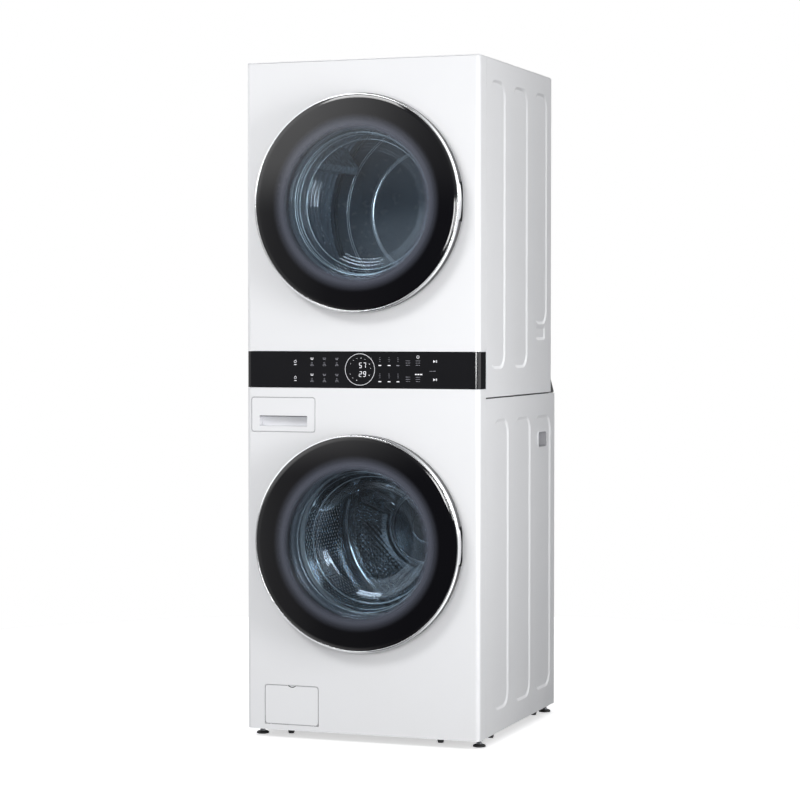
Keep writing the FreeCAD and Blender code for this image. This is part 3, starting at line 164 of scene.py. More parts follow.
def enamel():
    """White baked enamel: faint orange peel, soft clouding and a little dust low down."""
    n = Nodes("white_enamel")
    cloud = n.noise(1.6, 3.0)
    low_down = n.spread(n.axis(2), 0.02, 0.4, 1.0, 0.0)
    dust = n.times(low_down, n.spread(n.noise(7.0, 4.0), 0.35, 0.8))
    clean = n.blend(cloud, (0.845, 0.85, 0.865), (0.86, 0.865, 0.88))
    base = n.blend(n.times(dust, 0.14), clean, (0.74, 0.73, 0.71))
    sheen = n.spread(n.noise(14.0, 3.0), 0.3, 0.75, 0.29, 0.34)
    rough = n.plus(sheen, n.times(dust, 0.08))
    peel = n.bump(n.noise(420.0, 2.0), 0.035, 0.0004)
    return n.done(base, rough, Normal=peel, Coat_Weight=0.25, Coat_Roughness=0.2)


def plastic(name, rgb, rough, grain=900.0, bump=0.12, coat=0.0, spread=0.12):
    """Moulded plastic: fine grain, faint flow marks and patchy sheen."""
    n = Nodes(name)
    flow = n.noise(6.0, 4.0, (1.0, 1.0, 2.5))
    base = n.blend(flow, shaded(rgb, 1 - spread), shaded(rgb, 1 + spread * 0.6))
    uneven = n.spread(n.noise(45.0, 5.0), 0.25, 0.8, rough * 0.92, min(1.0, rough * 1.1))
    fine = n.bump(n.noise(grain, 3.0), bump, 0.0004)
    return n.done(base, uneven, Normal=fine, Coat_Weight=coat, Coat_Roughness=0.08)


def metal(name, rgb, rough, stretch=(1, 1, 1), scale=240.0, bump=0.08, metallic=1.0, spread=0.12, grime=0.0):
    """Metal with a grain drawn along one axis, patchy polish and, where asked, dull grime."""
    n = Nodes(name)
    grain = n.noise(scale, 4.0, stretch, 0.6)
    patch = n.noise(7.0, 4.0)
    base = n.blend(patch, shaded(rgb, 1 - spread), shaded(rgb, 1 + spread * 0.5))
    base = n.blend(n.times(grain, 0.35), base, shaded(rgb, 0.75))
    dirt = n.times(n.spread(n.noise(14.0, 6.0), 0.5, 0.75), grime)
    base = n.blend(dirt, base, shaded(rgb, 0.35))
    polish = n.spread(grain, 0.2, 0.8, rough * 0.75, min(1.0, rough * 1.3))
    uneven = n.plus(polish, n.times(dirt, 0.3))
    return n.done(base, uneven, metallic, Normal=n.bump(grain, bump, 0.0003))


def zinc():
    """Galvanised sheet: crystal spangle, dull patches and fine scuffs."""
    n = Nodes("galvanised_sheet")
    cells = n.add("TexVoronoi", {"Vector": n.scaled((1, 1, 1)), "Scale": 70.0})
    tone = n.add("SeparateColor", {0: cells.outputs["Color"]})
    base = n.blend(tone.outputs[0], (0.46, 0.47, 0.485), (0.6, 0.61, 0.62))
    base = n.blend(n.spread(n.noise(5.0, 5.0), 0.45, 0.8), base, (0.4, 0.405, 0.41))
    rough = n.spread(tone.outputs[1], 0.0, 1.0, 0.34, 0.52)
    return n.done(base, rough, 0.85, Normal=n.bump(n.noise(300.0, 4.0), 0.07, 0.0003))


def rubber(name, rgb):
    """Rubber: matt, finely grained, with a pale bloom of dust."""
    n = Nodes(name)
    bloom = n.spread(n.noise(24.0, 6.0), 0.45, 0.85)
    base = n.blend(n.times(bloom, 0.35), rgb, tuple(c + 0.06 for c in rgb))
    rough = n.spread(n.noise(60.0, 3.0), 0.2, 0.8, 0.55, 0.78)
    return n.done(base, rough, Normal=n.bump(n.noise(700.0, 3.0), 0.2, 0.0004))


def casting(name, rgb, metallic, rough):
    """Sand cast surface: coarse pitting and uneven tone."""
    n = Nodes(name)
    grit = n.noise(160.0, 6.0, roughness=0.65)
    base = n.blend(n.noise(12.0, 4.0), shaded(rgb, 0.8), shaded(rgb, 1.15))
    uneven = n.spread(grit, 0.2, 0.8, rough * 0.85, rough * 1.1)
    return n.done(base, uneven, metallic, Normal=n.bump(grit, 0.45, 0.0012))


def printed(name, rgb, glow):
    """Screen-printed ink on the strip, lit softly from behind."""
    n = Nodes(name)
    ink = n.blend(n.noise(300.0, 3.0), shaded(rgb, 0.85), rgb)
    rough = n.spread(n.noise(500.0, 3.0), 0.3, 0.7, 0.4, 0.6)
    fine = n.bump(n.noise(1500.0, 2.0), 0.05, 0.0002)
    return n.done(ink, rough, Normal=fine, Emission_Color=rgb, Emission_Strength=glow)


def see_through(n, tint, roughness, gloss=(0.95, 0.97, 1.0), strength=1.0, **bent):
    """Thin glass: what is behind it shows unbent, and it mirrors more at a grazing angle."""
    clear = n.add("BsdfTransparent", {"Color": tint}).outputs[0]
    mirror = n.add("BsdfGlossy", {"Color": gloss, "Roughness": roughness, **bent}).outputs[0]
    facing = n.add("LayerWeight", {"Blend": 0.5, **bent}).outputs["Facing"]
    grazing = n.times(n.math("POWER", facing, 4.0), 0.4)
    mirrored = n.math("MULTIPLY", n.plus(grazing, 0.04), strength, clamp=True)
    return n.mix(mirrored, clear, mirror)


def cover_glass(name, height):
    """The door's face: a black printed border that fades through a blue-grey halo to a smoked window."""
    n = Nodes(name)
    wave = n.times(n.math("SUBTRACT", n.noise(3.0, 2.0), 0.5), 0.004)
    r = n.plus(n.radius(height), wave)
    border = n.spread(r, 0.21, 0.246)
    halo = n.spread(r, 0.196, 0.222, 0.0, 0.62)
    ink = n.blend(border, (0.135, 0.145, 0.185), (0.003, 0.003, 0.0045))
    smudge = n.spread(n.noise(18.0, 5.0), 0.5, 0.85, 0.05, 0.075)
    crown = n.bump(n.times(n.times(r, r), -0.1), 1.0, 1.0)
    border_print = n.principled(ink, smudge, Normal=crown, Coat_Weight=0.3, Coat_Roughness=0.05)
    window = see_through(n, (0.9, 0.93, 0.96), smudge, strength=0.8)
    return n.end(n.mix(n.math("MAXIMUM", halo, border), window, border_print))


def bowl_glass():
    """Pressed glass of the door bowl: slightly blue, with faint ripples from the mould."""
    n = Nodes("clear_glass")
    rings = n.math("SINE", n.times(n.axis(1), 1050.0))
    ripple = n.bump(rings, 0.3, 0.0006, Normal=n.bump(n.noise(26.0, 3.0), 0.04, 0.002))
    tint = n.blend(n.noise(8.0, 3.0), (0.91, 0.95, 0.97), (0.95, 0.975, 0.985))
    rough = n.spread(n.noise(30.0, 4.0), 0.3, 0.8, 0.01, 0.03)
    return n.end(see_through(n, tint, rough, (0.9, 0.95, 1.0), 1.1, Normal=ripple))


NO_GRAIN = (1, 1, 1)
TURNED = (0.3, 1.0, 0.3)

# Colour and roughness, then where they differ from the usual: scale of the grain, bump, coat, unevenness.
PLASTICS = {
    "white_plastic": ((0.86, 0.865, 0.88), 0.32, 1100.0, 0.04, 0.15, 0.008),
    "black_gloss": ((0.009, 0.009, 0.011), 0.09, 300.0, 0.01, 0.6, 0.2),
    "black_plastic": ((0.02, 0.02, 0.022), 0.34),
    "grey_plastic": ((0.46, 0.47, 0.49), 0.42),
    "bulkhead_coat": ((0.12, 0.135, 0.16), 0.26, 1400.0, 0.01, 0.3, 0.04),
    "mouth_plastic": ((0.16, 0.17, 0.19), 0.36),
    # A light grey that paints the shade inside the drawer's finger recess.
    "recess_shade_plastic": ((0.78, 0.785, 0.81), 0.45, 1100.0, 0.04, 0.0, 0.02),
    # Mid grey that paints the shade inside the side grip pockets.
    "grip_shade_plastic": ((0.45, 0.45, 0.47), 0.5),
    # Grey that paints the shadow in the gaps round the drawer and the hatch.
    "seam_shade_plastic": ((0.5, 0.5, 0.52), 0.5, 1100.0, 0.04, 0.0, 0.02),
}

# Colour, roughness, stretch and scale of the grain, bump, metallic, unevenness, grime.
METALS = {
    "bright_trim": ((0.8, 0.81, 0.83), 0.16, NO_GRAIN, 300.0, 0.02, 1.0, 0.05),
    "stainless_steel": ((0.62, 0.66, 0.7), 0.2, (0.15, 1.0, 0.15), 500.0, 0.05),
    "grey_coat": ((0.34, 0.38, 0.43), 0.28, (0.2, 1.0, 0.2), 260.0, 0.04, 0.75),
    "black_steel": ((0.03, 0.03, 0.032), 0.42, NO_GRAIN, 500.0, 0.1, 0.0, 0.25, 0.2),
    "spring_steel": ((0.32, 0.33, 0.35), 0.35, (1, 1, 0.3), 300.0, 0.1),
    "motor_steel": ((0.4, 0.4, 0.42), 0.4, (1, 0.2, 1), 300.0, 0.1, 0.9, 0.2, 0.3),
    "brass_fitting": ((0.68, 0.52, 0.26), 0.3, NO_GRAIN, 300.0, 0.08, 1.0, 0.2, 0.3),
    "drum_steel": ((0.52, 0.55, 0.58), 0.1, TURNED, 300.0, 0.02, 1.0, 0.08),
    "drum_coat": ((0.82, 0.88, 0.95), 0.22, TURNED, 260.0, 0.03, 0.65, 0.08),
    "bead_glass": ((0.85, 0.94, 1.0), 0.22, NO_GRAIN, 20.0, 0.01, 0.85, 0.05),
    "lifter_coat": ((0.86, 0.93, 1.0), 0.26, TURNED, 260.0, 0.03, 0.25, 0.06),
    "hoop_steel": ((0.9, 0.94, 1.0), 0.24, NO_GRAIN, 120.0, 0.005, 0.7, 0.02),
    "ring_steel": ((0.95, 0.96, 0.97), 0.2, NO_GRAIN, 120.0, 0.005, 0.85, 0.02),
}

RUBBERS = {
    "grey_rubber": (0.12, 0.125, 0.14),
    "black_rubber": (0.014, 0.014, 0.015),
    # Dark grey that paints the shadow under the drawer's lip.
    "drawer_shade_rubber": (0.11, 0.11, 0.12),
}


def make_materials():
    made = {
        "white_enamel": enamel(),
        "washer_glass": cover_glass("washer_cover_glass", WASHER_Z),
        "dryer_glass": cover_glass("dryer_cover_glass", DRYER_Z),
        "clear_glass": bowl_glass(),
        "galvanised_sheet": zinc(),
        "cast_weight": casting("cast_weight", (0.23, 0.23, 0.24), 0.0, 0.85),
        "cast_aluminium": casting("cast_aluminium", (0.58, 0.59, 0.6), 0.9, 0.5),
        "print_bright": printed("print_bright", (0.75, 0.75, 0.78), 0.5),
        "print_dim": printed("print_dim", (0.22, 0.22, 0.25), 0.12),
    }
    made.update({name: plastic(name, *row) for name, row in PLASTICS.items()})
    made.update({name: metal(name, *row) for name, row in METALS.items()})
    made.update({name: rubber(name, rgb) for name, rgb in RUBBERS.items()})
    return made


MATERIAL = make_materials()

# The CAD nodes with a material of their own, apart from their slot in the record.
OWN_MATERIAL = {
    "washer_door_glass": "washer_glass",
    "dryer_door_glass": "dryer_glass",
    "dryer_rear_bulkhead": "bulkhead_coat",
    "dryer_front_bulkhead": "mouth_plastic",
    "control_strip_housing": "black_gloss",
}


def dress_frame():
    """Gives every carried-over CAD node the material of its slot in the record."""
    for row in frame["record"]["subparts"]:
        node = NODES[row["node"]]
        name = OWN_MATERIAL.get(row["node"], row["material_slot"])
        if not node.material_slots:
            node.data.materials.append(MATERIAL[name])
        for slot in node.material_slots:
            slot.material = MATERIAL[name]


dress_frame()


# ---------------- mesh helpers

class Shape:
    """Collects the surfaces of one piece."""

    def __init__(self):
        self.verts = []
        self.faces = []

    def add(self, verts, faces):
        base = len(self.verts)
        self.verts += [tuple(v) for v in verts]
        self.faces += [tuple(base + i for i in face) for face in faces]
        return self

    def turn(self, points, height, segments, closed=False):
        """Adds a form turned round a door's or drum's axis, from (radius, depth behind the front) in mm."""
        profile = [(r * MM, FRONT + d * MM) for r, d in points]
        return self.add(*lathe(profile, (0, 0, height), segments=segments, closed=closed))

    def piece(self, name, material, body, slot, replaces=(), angle=32.0):
        mesh = bpy.data.meshes.new(name)
        mesh.from_pydata(self.verts, [], self.faces)
        work = bmesh.new()
        work.from_mesh(mesh)
        bmesh.ops.remove_doubles(work, verts=work.verts, dist=1e-6)
        bmesh.ops.dissolve_degenerate(work, edges=work.edges, dist=1e-7)
        bmesh.ops.recalc_face_normals(work, faces=work.faces)
        work.to_mesh(mesh)
        work.free()
        mesh.materials.append(MATERIAL[material])
        mesh.shade_smooth()
        mesh.set_sharp_from_angle(angle=radians(angle))
        made = bpy.data.objects.new(name, mesh)
        bpy.context.scene.collection.objects.link(made)
        if body:
            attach(made, body)
        if replaces:
            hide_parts(*replaces)
        return made


def metres(points):
    return [(a * MM, b * MM) for a, b in points]


def polar(radius, angle, depth, height):
    """A point round a door's or drum's axis, from a radius and a depth behind the front in mm."""
    return (radius * MM * cos(angle), FRONT + depth * MM, height + radius * MM * sin(angle))


def thicken(made, thickness):
    """Gives a skin the thickness of its sheet."""
    sheet = made.modifiers.new("sheet", "SOLIDIFY")
    sheet.thickness = thickness
    sheet.offset = 1.0


def soften(points, radius, steps=3, closed=True):
    """Rounds the corners of an outline."""
    made = []
    count = len(points)
    for i, corner in enumerate(points):
        if not closed and i in (0, count - 1):
            made.append(corner)
            continue
        here = Vector(corner)
        before = Vector(points[i - 1]) - here
        after = Vector(points[(i + 1) % count]) - here
        reach = min(radius, before.length * 0.45, after.length * 0.45)
        a = here + before.normalized() * reach
        b = here + after.normalized() * reach
        for step in range(steps + 1):
            t = step / steps
            made.append(tuple(a * (1 - t) ** 2 + here * 2 * t * (1 - t) + b * t * t))
    return made


def skin(rings, row_closed=False, ring_closed=True):
    """Joins a row of equal rings. Where only the rings are closed, the row gets a cap at each end."""
    count = len(rings[0])
    faces = []
    for a in range(len(rings) if row_closed else len(rings) - 1):
        b = (a + 1) % len(rings)
        for i in range(count if ring_closed else count - 1):
            j = (i + 1) % count
            faces.append((a * count + i, a * count + j, b * count + j, b * count + i))
    if ring_closed and not row_closed:
        faces.append(tuple(range(count)))
        faces.append(tuple(range((len(rings) - 1) * count, len(rings) * count)))
    return [point for ring in rings for point in ring], faces


def frame_of(axis):
    """An axis and two directions square to it."""
    axis = Vector(axis).normalized()
    side = Vector((1, 0, 0)) if abs(axis.x) < 0.9 else Vector((0, 0, 1))
    side = (side - axis * side.dot(axis)).normalized()
    return axis, side, axis.cross(side)


def lathe(profile, origin, axis=(0, 1, 0), segments=64, closed=False, start=0.0, sweep=tau, swell=None):
    """Turns a profile of (radius, along) about an axis through origin. swell(angle, radius) moves it."""
    axis, side, over = frame_of(axis)
    origin = Vector(origin)
    whole = sweep == tau
    rings = []
    for s in range(segments if whole else segments + 1):
        angle = start + sweep * s / segments
        out = side * cos(angle) + over * sin(angle)
        radii = [swell(angle, r) if swell else r for r, _ in profile]
        rings.append([origin + out * r + axis * along for r, (_, along) in zip(radii, profile)])
    return skin(rings, whole, closed)


def tube(path, radius, sides=10):
    """A round wire along a path, closed at its ends."""
    points = [Vector(p) for p in path]
    rings = []
    side = None
    for i, point in enumerate(points):
        ahead = points[min(i + 1, len(points) - 1)] - points[max(i - 1, 0)]
        if side is None:
            side = frame_of(ahead)[1]
        along = ahead.normalized()
        side = (side - along * side.dot(along)).normalized()
        over = along.cross(side)
        turns = [tau * k / sides for k in range(sides)]
        rings.append([point + (side * cos(t) + over * sin(t)) * radius for t in turns])
    return skin(rings)


def chip(outline, y_base, y_face, edge=0.0002):
    """A flat raised shape on a front face: outline of (x, z) points, from y_base out to y_face."""
    count = len(outline)
    middle = Vector((sum(p[0] for p in outline) / count, sum(p[1] for p in outline) / count))
    inner = []
    for x, z in outline:
        away = Vector((x, z)) - middle
        away *= max(0.0, 1 - edge / max(away.length, 1e-6))
        inner.append((middle.x + away.x, middle.y + away.y))
    levels = ((outline, y_base), (outline, y_face + edge * 0.5), (inner, y_face))
    return skin([[(x, y, z) for x, z in ring] for ring, y in levels])


def rectangle(x, z, width, height, radius=0.0):
    """The outline of an upright rectangle round a centre."""
    a, b = width / 2, height / 2
    corners = [(x - a, z - b), (x + a, z - b), (x + a, z + b), (x - a, z + b)]
    return soften(corners, radius, 3) if radius else corners


def upright_ring(x0, x1, z0, z1, y, radius):
    """A rounded rectangle that faces the front."""
    return [(x, y, z) for x, z in rectangle((x0 + x1) / 2, (z0 + z1) / 2, x1 - x0, z1 - z0, radius)]


def prism(outline, y0, y1):
    """A flat plate with this outline of (x, z) points."""
    return skin([[(x, y, z) for x, z in outline] for y in (y0, y1)])


def block(x0, x1, y0, y1, z0, z1, e):
    """A block with edges broken by e."""
    rings = []
    for z, inset in ((z0, e), (z0 + e, 0.0), (z1 - e, 0.0), (z1, e)):
        xa, xb, ya, yb = x0 + inset, x1 - inset, y0 + inset, y1 - inset
        rings.append([
            (xa + e, ya, z), (xb - e, ya, z), (xb, ya + e, z), (xb, yb - e, z),
            (xb - e, yb, z), (xa + e, yb, z), (xa, yb - e, z), (xa, ya + e, z),
        ])
    return skin(rings)


def hex_screw(shape, place, axis, size):
    """A hexagon head with its washer, sitting on a sheet."""
    washer = [(0.0, -0.0003), (size * 1.35, -0.0003)]
    washer += [(size * r, size * d) for r, d in ((1.35, 0.16), (1.2, 0.26), (0.0, 0.26))]
    head = ((0, 0.1), (1, 0.1), (1, 0.75), (0.86, 0.92), (0.5, 0.92), (0.4, 0.82), (0, 0.8))
    shape.add(*lathe(washer, place, axis, 20))
    shape.add(*lathe([(size * r, size * d) for r, d in head], place, axis, 6))


def perforated(shape, surface, columns, rows, holed, size, dish, around=False):
    """A skin over surface(u, v, lift), with a dished eight-sided hole in each cell that holed(u, v) names."""
    across = columns if around else columns + 1
    verts = [surface(i, j, 0.0) for j in range(rows + 1) for i in range(across)]
    faces = []
    for j in range(rows):
        for i in range(columns):
            k = (i + 1) % across
            square = [row * across + column for row, column in ((j, i), (j, k), (j + 1, k), (j + 1, i))]
            if not holed(i, j):
                faces.append(square)
                continue
            ring = range(len(verts), len(verts) + 8)
            for s in range(8):
                angle = radians(225 + 45 * s)
                verts.append(surface(i + 0.5 + size * cos(angle), j + 0.5 + size * sin(angle), dish))
            for s in range(4):
                a, b = square[s], square[(s + 1) % 4]
                r0, r1, r2 = ring[2 * s], ring[2 * s + 1], ring[(2 * s + 2) % 8]
                faces += [(a, r1, r0), (a, b, r1), (b, r2, r1)]
    shape.add(verts, faces)


# ---------------- doors

def cover_glass_piece(door, height):
    """The domed cover glass with a ground edge."""
    low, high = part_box(door + "_door_glass")
    crown, thick, edge = low.y, 0.004, 0.0012
    rise = high.y - low.y - thick
    dome = (GLASS_R ** 2 + rise ** 2) / (2 * rise)

    def sag(r):
        return dome - sqrt(dome ** 2 - r ** 2)

    stations = [GLASS_R * i / 28 for i in range(28)]
    front = [(r, crown + sag(r)) for r in stations] + [(GLASS_R - edge, crown + sag(GLASS_R))]
    rim = [
        (GLASS_R - edge * 0.3, crown + rise + edge * 0.3), (GLASS_R, crown + rise + edge),
        (GLASS_R, high.y - edge), (GLASS_R - edge * 0.3, high.y - edge * 0.3), (GLASS_R - edge, high.y),
    ]
    back = [(r, crown + thick + sag(r)) for r in reversed(stations)]
    shape = Shape().add(*lathe(front + rim + back, (0, 0, height), segments=160))
    body = door + "_door"
    shape.piece(door + "_cover_glass", door + "_glass", body, "tinted_glass", [body + "_glass"])


def bezel_piece(door, height):
    """The bright bezel, with the lip that covers the grip."""
    shape = Shape()
    section = [(294.8, -46), (297.2, -46), (301, -41.6), (301, -38), (286, -38), (286, -41.7), (294.8, -41.7)]
    shape.turn(soften(section, 0.9), height, 192, closed=True)
    inner, outer, half_width = 0.299, 0.302, 0.052
    half = asin(half_width / outer)

    def swell(angle, radius):
        """Lets the lip fade out at its ends."""
        fade = min(1.0, (half - abs(angle)) / (half * 0.16) + 0.05)
        return inner + (radius - inner) * max(0.05, fade)

    lip = soften([(299.0, -41.2), (301.4, -40.6), (302.5, -36), (301.7, -29.6), (299.6, -29.6)], 0.8)
    profile = [(r * MM, FRONT + d * MM) for r, d in lip]
    part_turn = {"start": -half, "sweep": 2 * half, "swell": swell}
    shape.add(*lathe(profile, (0, 0, height), segments=36, closed=True, **part_turn))
    shape.piece(door + "_bezel", "bright_trim", door + "_door", "bright_trim", [door + "_door_ring"], 40)


# The outside of each bowl, as radius and depth in mm, from its middle out to its mouth.
BOWLS = {
    "washer": [(0, 118), (110, 118), (150, 112), (168, 103), (180, 88), (189.5, 62), (196.5, 30), (200, 0)],
    "dryer": [(0, 58), (150, 58), (179, 52), (190.5, 40), (197, 22), (200, 0)],
}

# Depth and thickness of the bright rings in mm.
BOWL_BEADS = {
    "dryer": ((2, 1.4), (13, 0.9), (27, 1.1), (48, 1.2)),
    "washer": ((13, 0.9), (48, 0.8), (86, 1.1)),
}


def ridged(profile, pitch=9.0, rise=0.9):
    """Adds soft moulded ridges to the steep stretch of a bowl's profile."""
    made = []
    for (r, d), (r1, d1) in zip(profile, profile[1:]):
        made.append((r, d))
        if r1 < 178:
            continue
        count = int(hypot(r1 - r, d1 - d) / (pitch / 4))
        for k in range(1, count):
            t = k / count
            made.append((r + (r1 - r) * t - rise * (1 - cos(pi / 2 * (k % 4))), d + (d1 - d) * t))
    return made + [profile[-1]]


def bowl_piece(door, height):
    """The pressed glass bowl: thick wall, flat rim with three moulded ridges and a soft foot."""
    wall = 4.5
    outer = ridged(BOWLS[door])
    inner = []
    for i, (r, d) in enumerate(outer):
        a = outer[max(i - 1, 0)]
        b = outer[min(i + 1, len(outer) - 1)]
        run = Vector((b[0] - a[0], b[1] - a[1])).normalized()
        inner.append((max(0.0, r + run.y * wall) if i else 0.0, d - run.x * wall))
    rim = [(200, -9), (212, -9), (212, -14)]
    for ridge in (208.5, 203.5, 198.5):
        rim += [(ridge + 1.6, -14), (ridge + 0.5, -15.6), (ridge - 0.5, -15.6), (ridge - 1.6, -14)]
    rim += [(195.5, -13)]
    shape = Shape().turn(soften(outer + rim + inner[::-1], 6.0, 3, closed=False), height, 160)
    shape.piece(door + "_glass_bowl", "clear_glass", door + "_door", "clear_glass", [door + "_door_bowl"], 60)


def bowl_beads(door, height):
    """Bright moulded rings inside the wall of the bowl, which catch the light as thin arcs."""
    shape = Shape()
    outline, sunk = BOWLS[door], 2.4
    for depth, size in BOWL_BEADS[door]:
        for (r0, d0), (r1, d1) in zip(outline, outline[1:]):
            if not (d1 <= depth < d0 and r0 > 170):
                continue
            r = r0 + (r1 - r0) * (depth - d0) / (d1 - d0) - sunk
            turns = [tau * k / 10 for k in range(10)]
            section = [(r + size * cos(t), depth + size * sin(t)) for t in turns]
            shape.turn(section, height, 144, closed=True)
    shape.piece(door + "_bowl_beads", "bead_glass", door + "_door", "clear_glass", (), 60)


def door_back_details(door, height):
    """Screws and moulded ribs on the back of the door body."""
    face, hinge_clear = -3.5, 0.07
    screws, ribs = Shape(), Shape()
    for i in range(10):
        place = polar(277, radians(18 + 36 * i), face, height)
        if abs(place[2] - height) > hinge_clear:
            hex_screw(screws, place, (0, 1, 0), 0.003)
    screws.piece(door + "_door_screws", "spring_steel", door + "_door", "spring_steel")
    for r in (221.5, 231.5):
        section = [(r - 0.8, face - 0.6), (r - 0.6, face + 0.9), (r + 0.6, face + 0.9), (r + 0.8, face - 0.6)]
        ribs.turn(section, height, 128, closed=True)
    ribs.piece(door + "_door_ribs", "black_plastic", door + "_door", "black_plastic")


# ---------------- washer drum

WASHER_R = 266.6
WASHER_DRUM = ("washer_drum_unit", "stainless_steel")


def washer_radius(depth):
    """Inner radius of the washer drum's wall at a depth in mm, with its two beads."""
    return WASHER_R - sum(4.0 * exp(-((depth - middle) / 5.0) ** 2) for middle in (129.0, 521.0))


def washer_shell():
    """The washer drum's rolled mouth and its beaded and perforated wall."""
    columns, rows = 168, 38
    depth0, depth1 = 138.0, 512.0

    def wall(i, j, lift):
        depth = depth0 + (depth1 - depth0) * j / rows
        return polar(washer_radius(depth) + lift, tau * i / columns, depth, WASHER_Z)

    shape = Shape()
    perforated(shape, wall, columns, rows, lambda i, j: (i + j) % 2 == 0, 0.26, 1.3, around=True)
    mouth = [(208.6, 100), (208.4, 93.5), (211.5, 90.2), (249, 90.2), (258, 93.5), (264.5, 99), (266.6, 106)]
    front = soften(mouth, 3.0, 3, closed=False) + [(washer_radius(d), d) for d in range(110, 138, 3)]
    shape.turn(front + [(washer_radius(depth0), depth0)], WASHER_Z, columns)
    rear = [(washer_radius(depth1), depth1)] + [(washer_radius(d), d) for d in range(515, 545, 3)]
    roll = [(WASHER_R, 546), (264, 553), (256, 558.6), (246, 559.2), (240, 556)]
    shape.turn(rear + soften(roll, 3.0, 3, closed=False), WASHER_Z, columns)
    thicken(shape.piece("washer_drum_shell", "drum_steel", *WASHER_DRUM, ["washer_drum"], 50), 0.0009)


def washer_back():
    """The pressed back of the washer's drum, with three raised arms."""
    back = Shape()
    profile = [
        (0.0, 545.0), (46, 545.0), (60, 546), (104, 549), (116, 547.5), (128, 552), (150, 556), (228, 556),
        (241, 556), (241, 558), (150, 558.8), (104, 551), (0.0, 547.0),
    ]
    back.turn(soften(profile, 6.0, 3, closed=False), WASHER_Z, 144)
    for middle in (35, 155, 275):
        turn = radians(middle)
        rings = []
        for level, depth in ((0.0, 556.4), (0.25, 553.5), (0.6, 549.5), (0.85, 548.0), (1.0, 547.7)):
            grow = 34.0 - 13.0 * level
            near, far = 112.0 + 6 * level, 238.0 - 10 * level
            outline = [(near, -grow * 0.8), (far, -grow), (far, grow), (near, grow * 0.8)]
            rings.append([
                ((u * cos(turn) - v * sin(turn)) * MM, FRONT + depth * MM,
                 WASHER_Z + (u * sin(turn) + v * cos(turn)) * MM)
                for u, v in soften(outline, 20.0, 5)
            ])
        verts, (*sides, _, crest) = skin(rings)
        back.add(verts, sides + [crest])  # open at its root, inside the plate
    back.piece("washer_drum_back", "drum_steel", *WASHER_DRUM, (), 50)


def washer_diamonds():
    """Three fields of raised diamonds between the arms, on a grid of cells turned by 45 degrees."""
    shape = Shape()
    pitch, depth, near, far = 6.5, 555.9, 132, 236
    reach = int(240 / pitch)
    half = sqrt(0.5)
    for middle in (95, 215, 335):
        grid, verts, faces = {}, [], []
        for i in range(-reach, reach):
            for j in range(-reach, reach):
                u, v = (i + 0.5) * pitch, (j + 0.5) * pitch
                x, z = (u - v) * half, (u + v) * half
                off = (degrees(atan2(z, x)) - middle + 180) % 360 - 180
                if not (near < hypot(x, z) < far and abs(off) < 47 - 2000 / hypot(x, z)):
                    continue
                square = ((i, j), (i + 1, j), (i + 1, j + 1), (i, j + 1))
                for a, b in square:
                    if (a, b) not in grid:
                        grid[a, b] = len(verts)
                        lift = 2.8 if a % 2 and b % 2 else 0.2
                        x, z = (a - b) * pitch * half, (a + b) * pitch * half
                        verts.append((x * MM, FRONT + (depth - lift) * MM, WASHER_Z + z * MM))
                faces.append([grid[cell] for cell in square])
        shape.add(verts, faces)
    shape.piece("washer_drum_diamonds", "drum_steel", *WASHER_DRUM, (), 8)


def washer_hub():
    """The hub cap with its six screws."""
    cap = [(0, 536.5), (17, 537), (22, 539.5), (34, 540), (40, 541.5), (43.5, 545.5), (43.5, 546.5)]
    cap += [(0, 546.5)]
    hub = Shape().turn(soften(cap, 2.0, 3, closed=False), WASHER_Z, 96)
    for i in range(6):
        hex_screw(hub, polar(28.5, radians(60 * i + 12), 540.2, WASHER_Z), (0, -1, 0), 0.003)
    hub.piece("washer_hub_cap", "black_steel", *WASHER_DRUM)


def lifter_piece(name, material, slot, replaced, height, middles, stations, across, form, holed, thickness):
    """Three hollow lifters. form(s, t) gives the radius, the turn in degrees and the depth of a place."""
    shape = Shape()
    for middle in middles:
        def flank(i, j, lift, middle=middle):
            radius, turn, depth = form(i / across * 2 - 1, j / stations)
            return polar(radius + lift, radians(middle + turn), depth, height)

        perforated(shape, flank, across, stations, holed, 0.27, 1.2)
    thicken(shape.piece(name + "_lifters", material, name + "_drum_unit", slot, [replaced], 60), thickness)


def washer_lifters():
    """Each flank waves along the drum, with drain holes beside a smooth round crest."""
    stations, across = 36, 16
    half = degrees(47.0 / 266.0)

    def form(s, t):
        fade = min(1.0, sin(pi * t) * 4.2) ** 0.5
        profile = cos(s * pi / 2) ** 1.25
        sway = 4.2 * sin(tau * t * 0.95) * profile
        rise = 55.0 * fade * min(1.0, profile * 1.18)
        return 264.8 - rise, s * half * (0.72 + 0.28 * fade) + sway, 140.0 + 370.0 * t

    def holed(i, j):
        return i in (4, 11) and 4 < j < stations - 5 and j % 3 == 0

    lifter_piece("washer", "drum_steel", "stainless_steel", "washer_drum_lifters", WASHER_Z,
                 (35.0, 155.0, -85.0), stations, across, form, holed, 0.0012)


# ---------------- dryer drum

DRYER_R = 317.6


def dryer_shell():
    """The dryer drum's wall, with nine rolled beads and a rolled edge at each end."""
    beads = (170, 210, 250, 365, 405, 445, 485, 525, 562)

    def wall_radius(depth):
        return DRYER_R - sum(4.0 * exp(-((depth - bead) / 5.5) ** 2) for bead in beads)

    depths = [100 + 2.5 * i for i in range(195)]
    inner = [(wall_radius(d), d) for d in depths]
    ends = [(DRYER_R, 589), (315.4, 592), (314.6, 595), (316.4, 596.9), (318.4, 595)]
    outer = [(wall_radius(d) + 0.9, d) for d in reversed(depths)]
    front = [(318.4, 98), (316.8, 96.2), (315.2, 97.6), (316, 99.4)]
    shape = Shape().turn(inner + ends + outer + front, DRYER_Z, 160, closed=True)
    shape.piece("dryer_drum_shell", "drum_coat", "dryer_drum_unit", "grey_coat", ["dryer_drum"], 50)


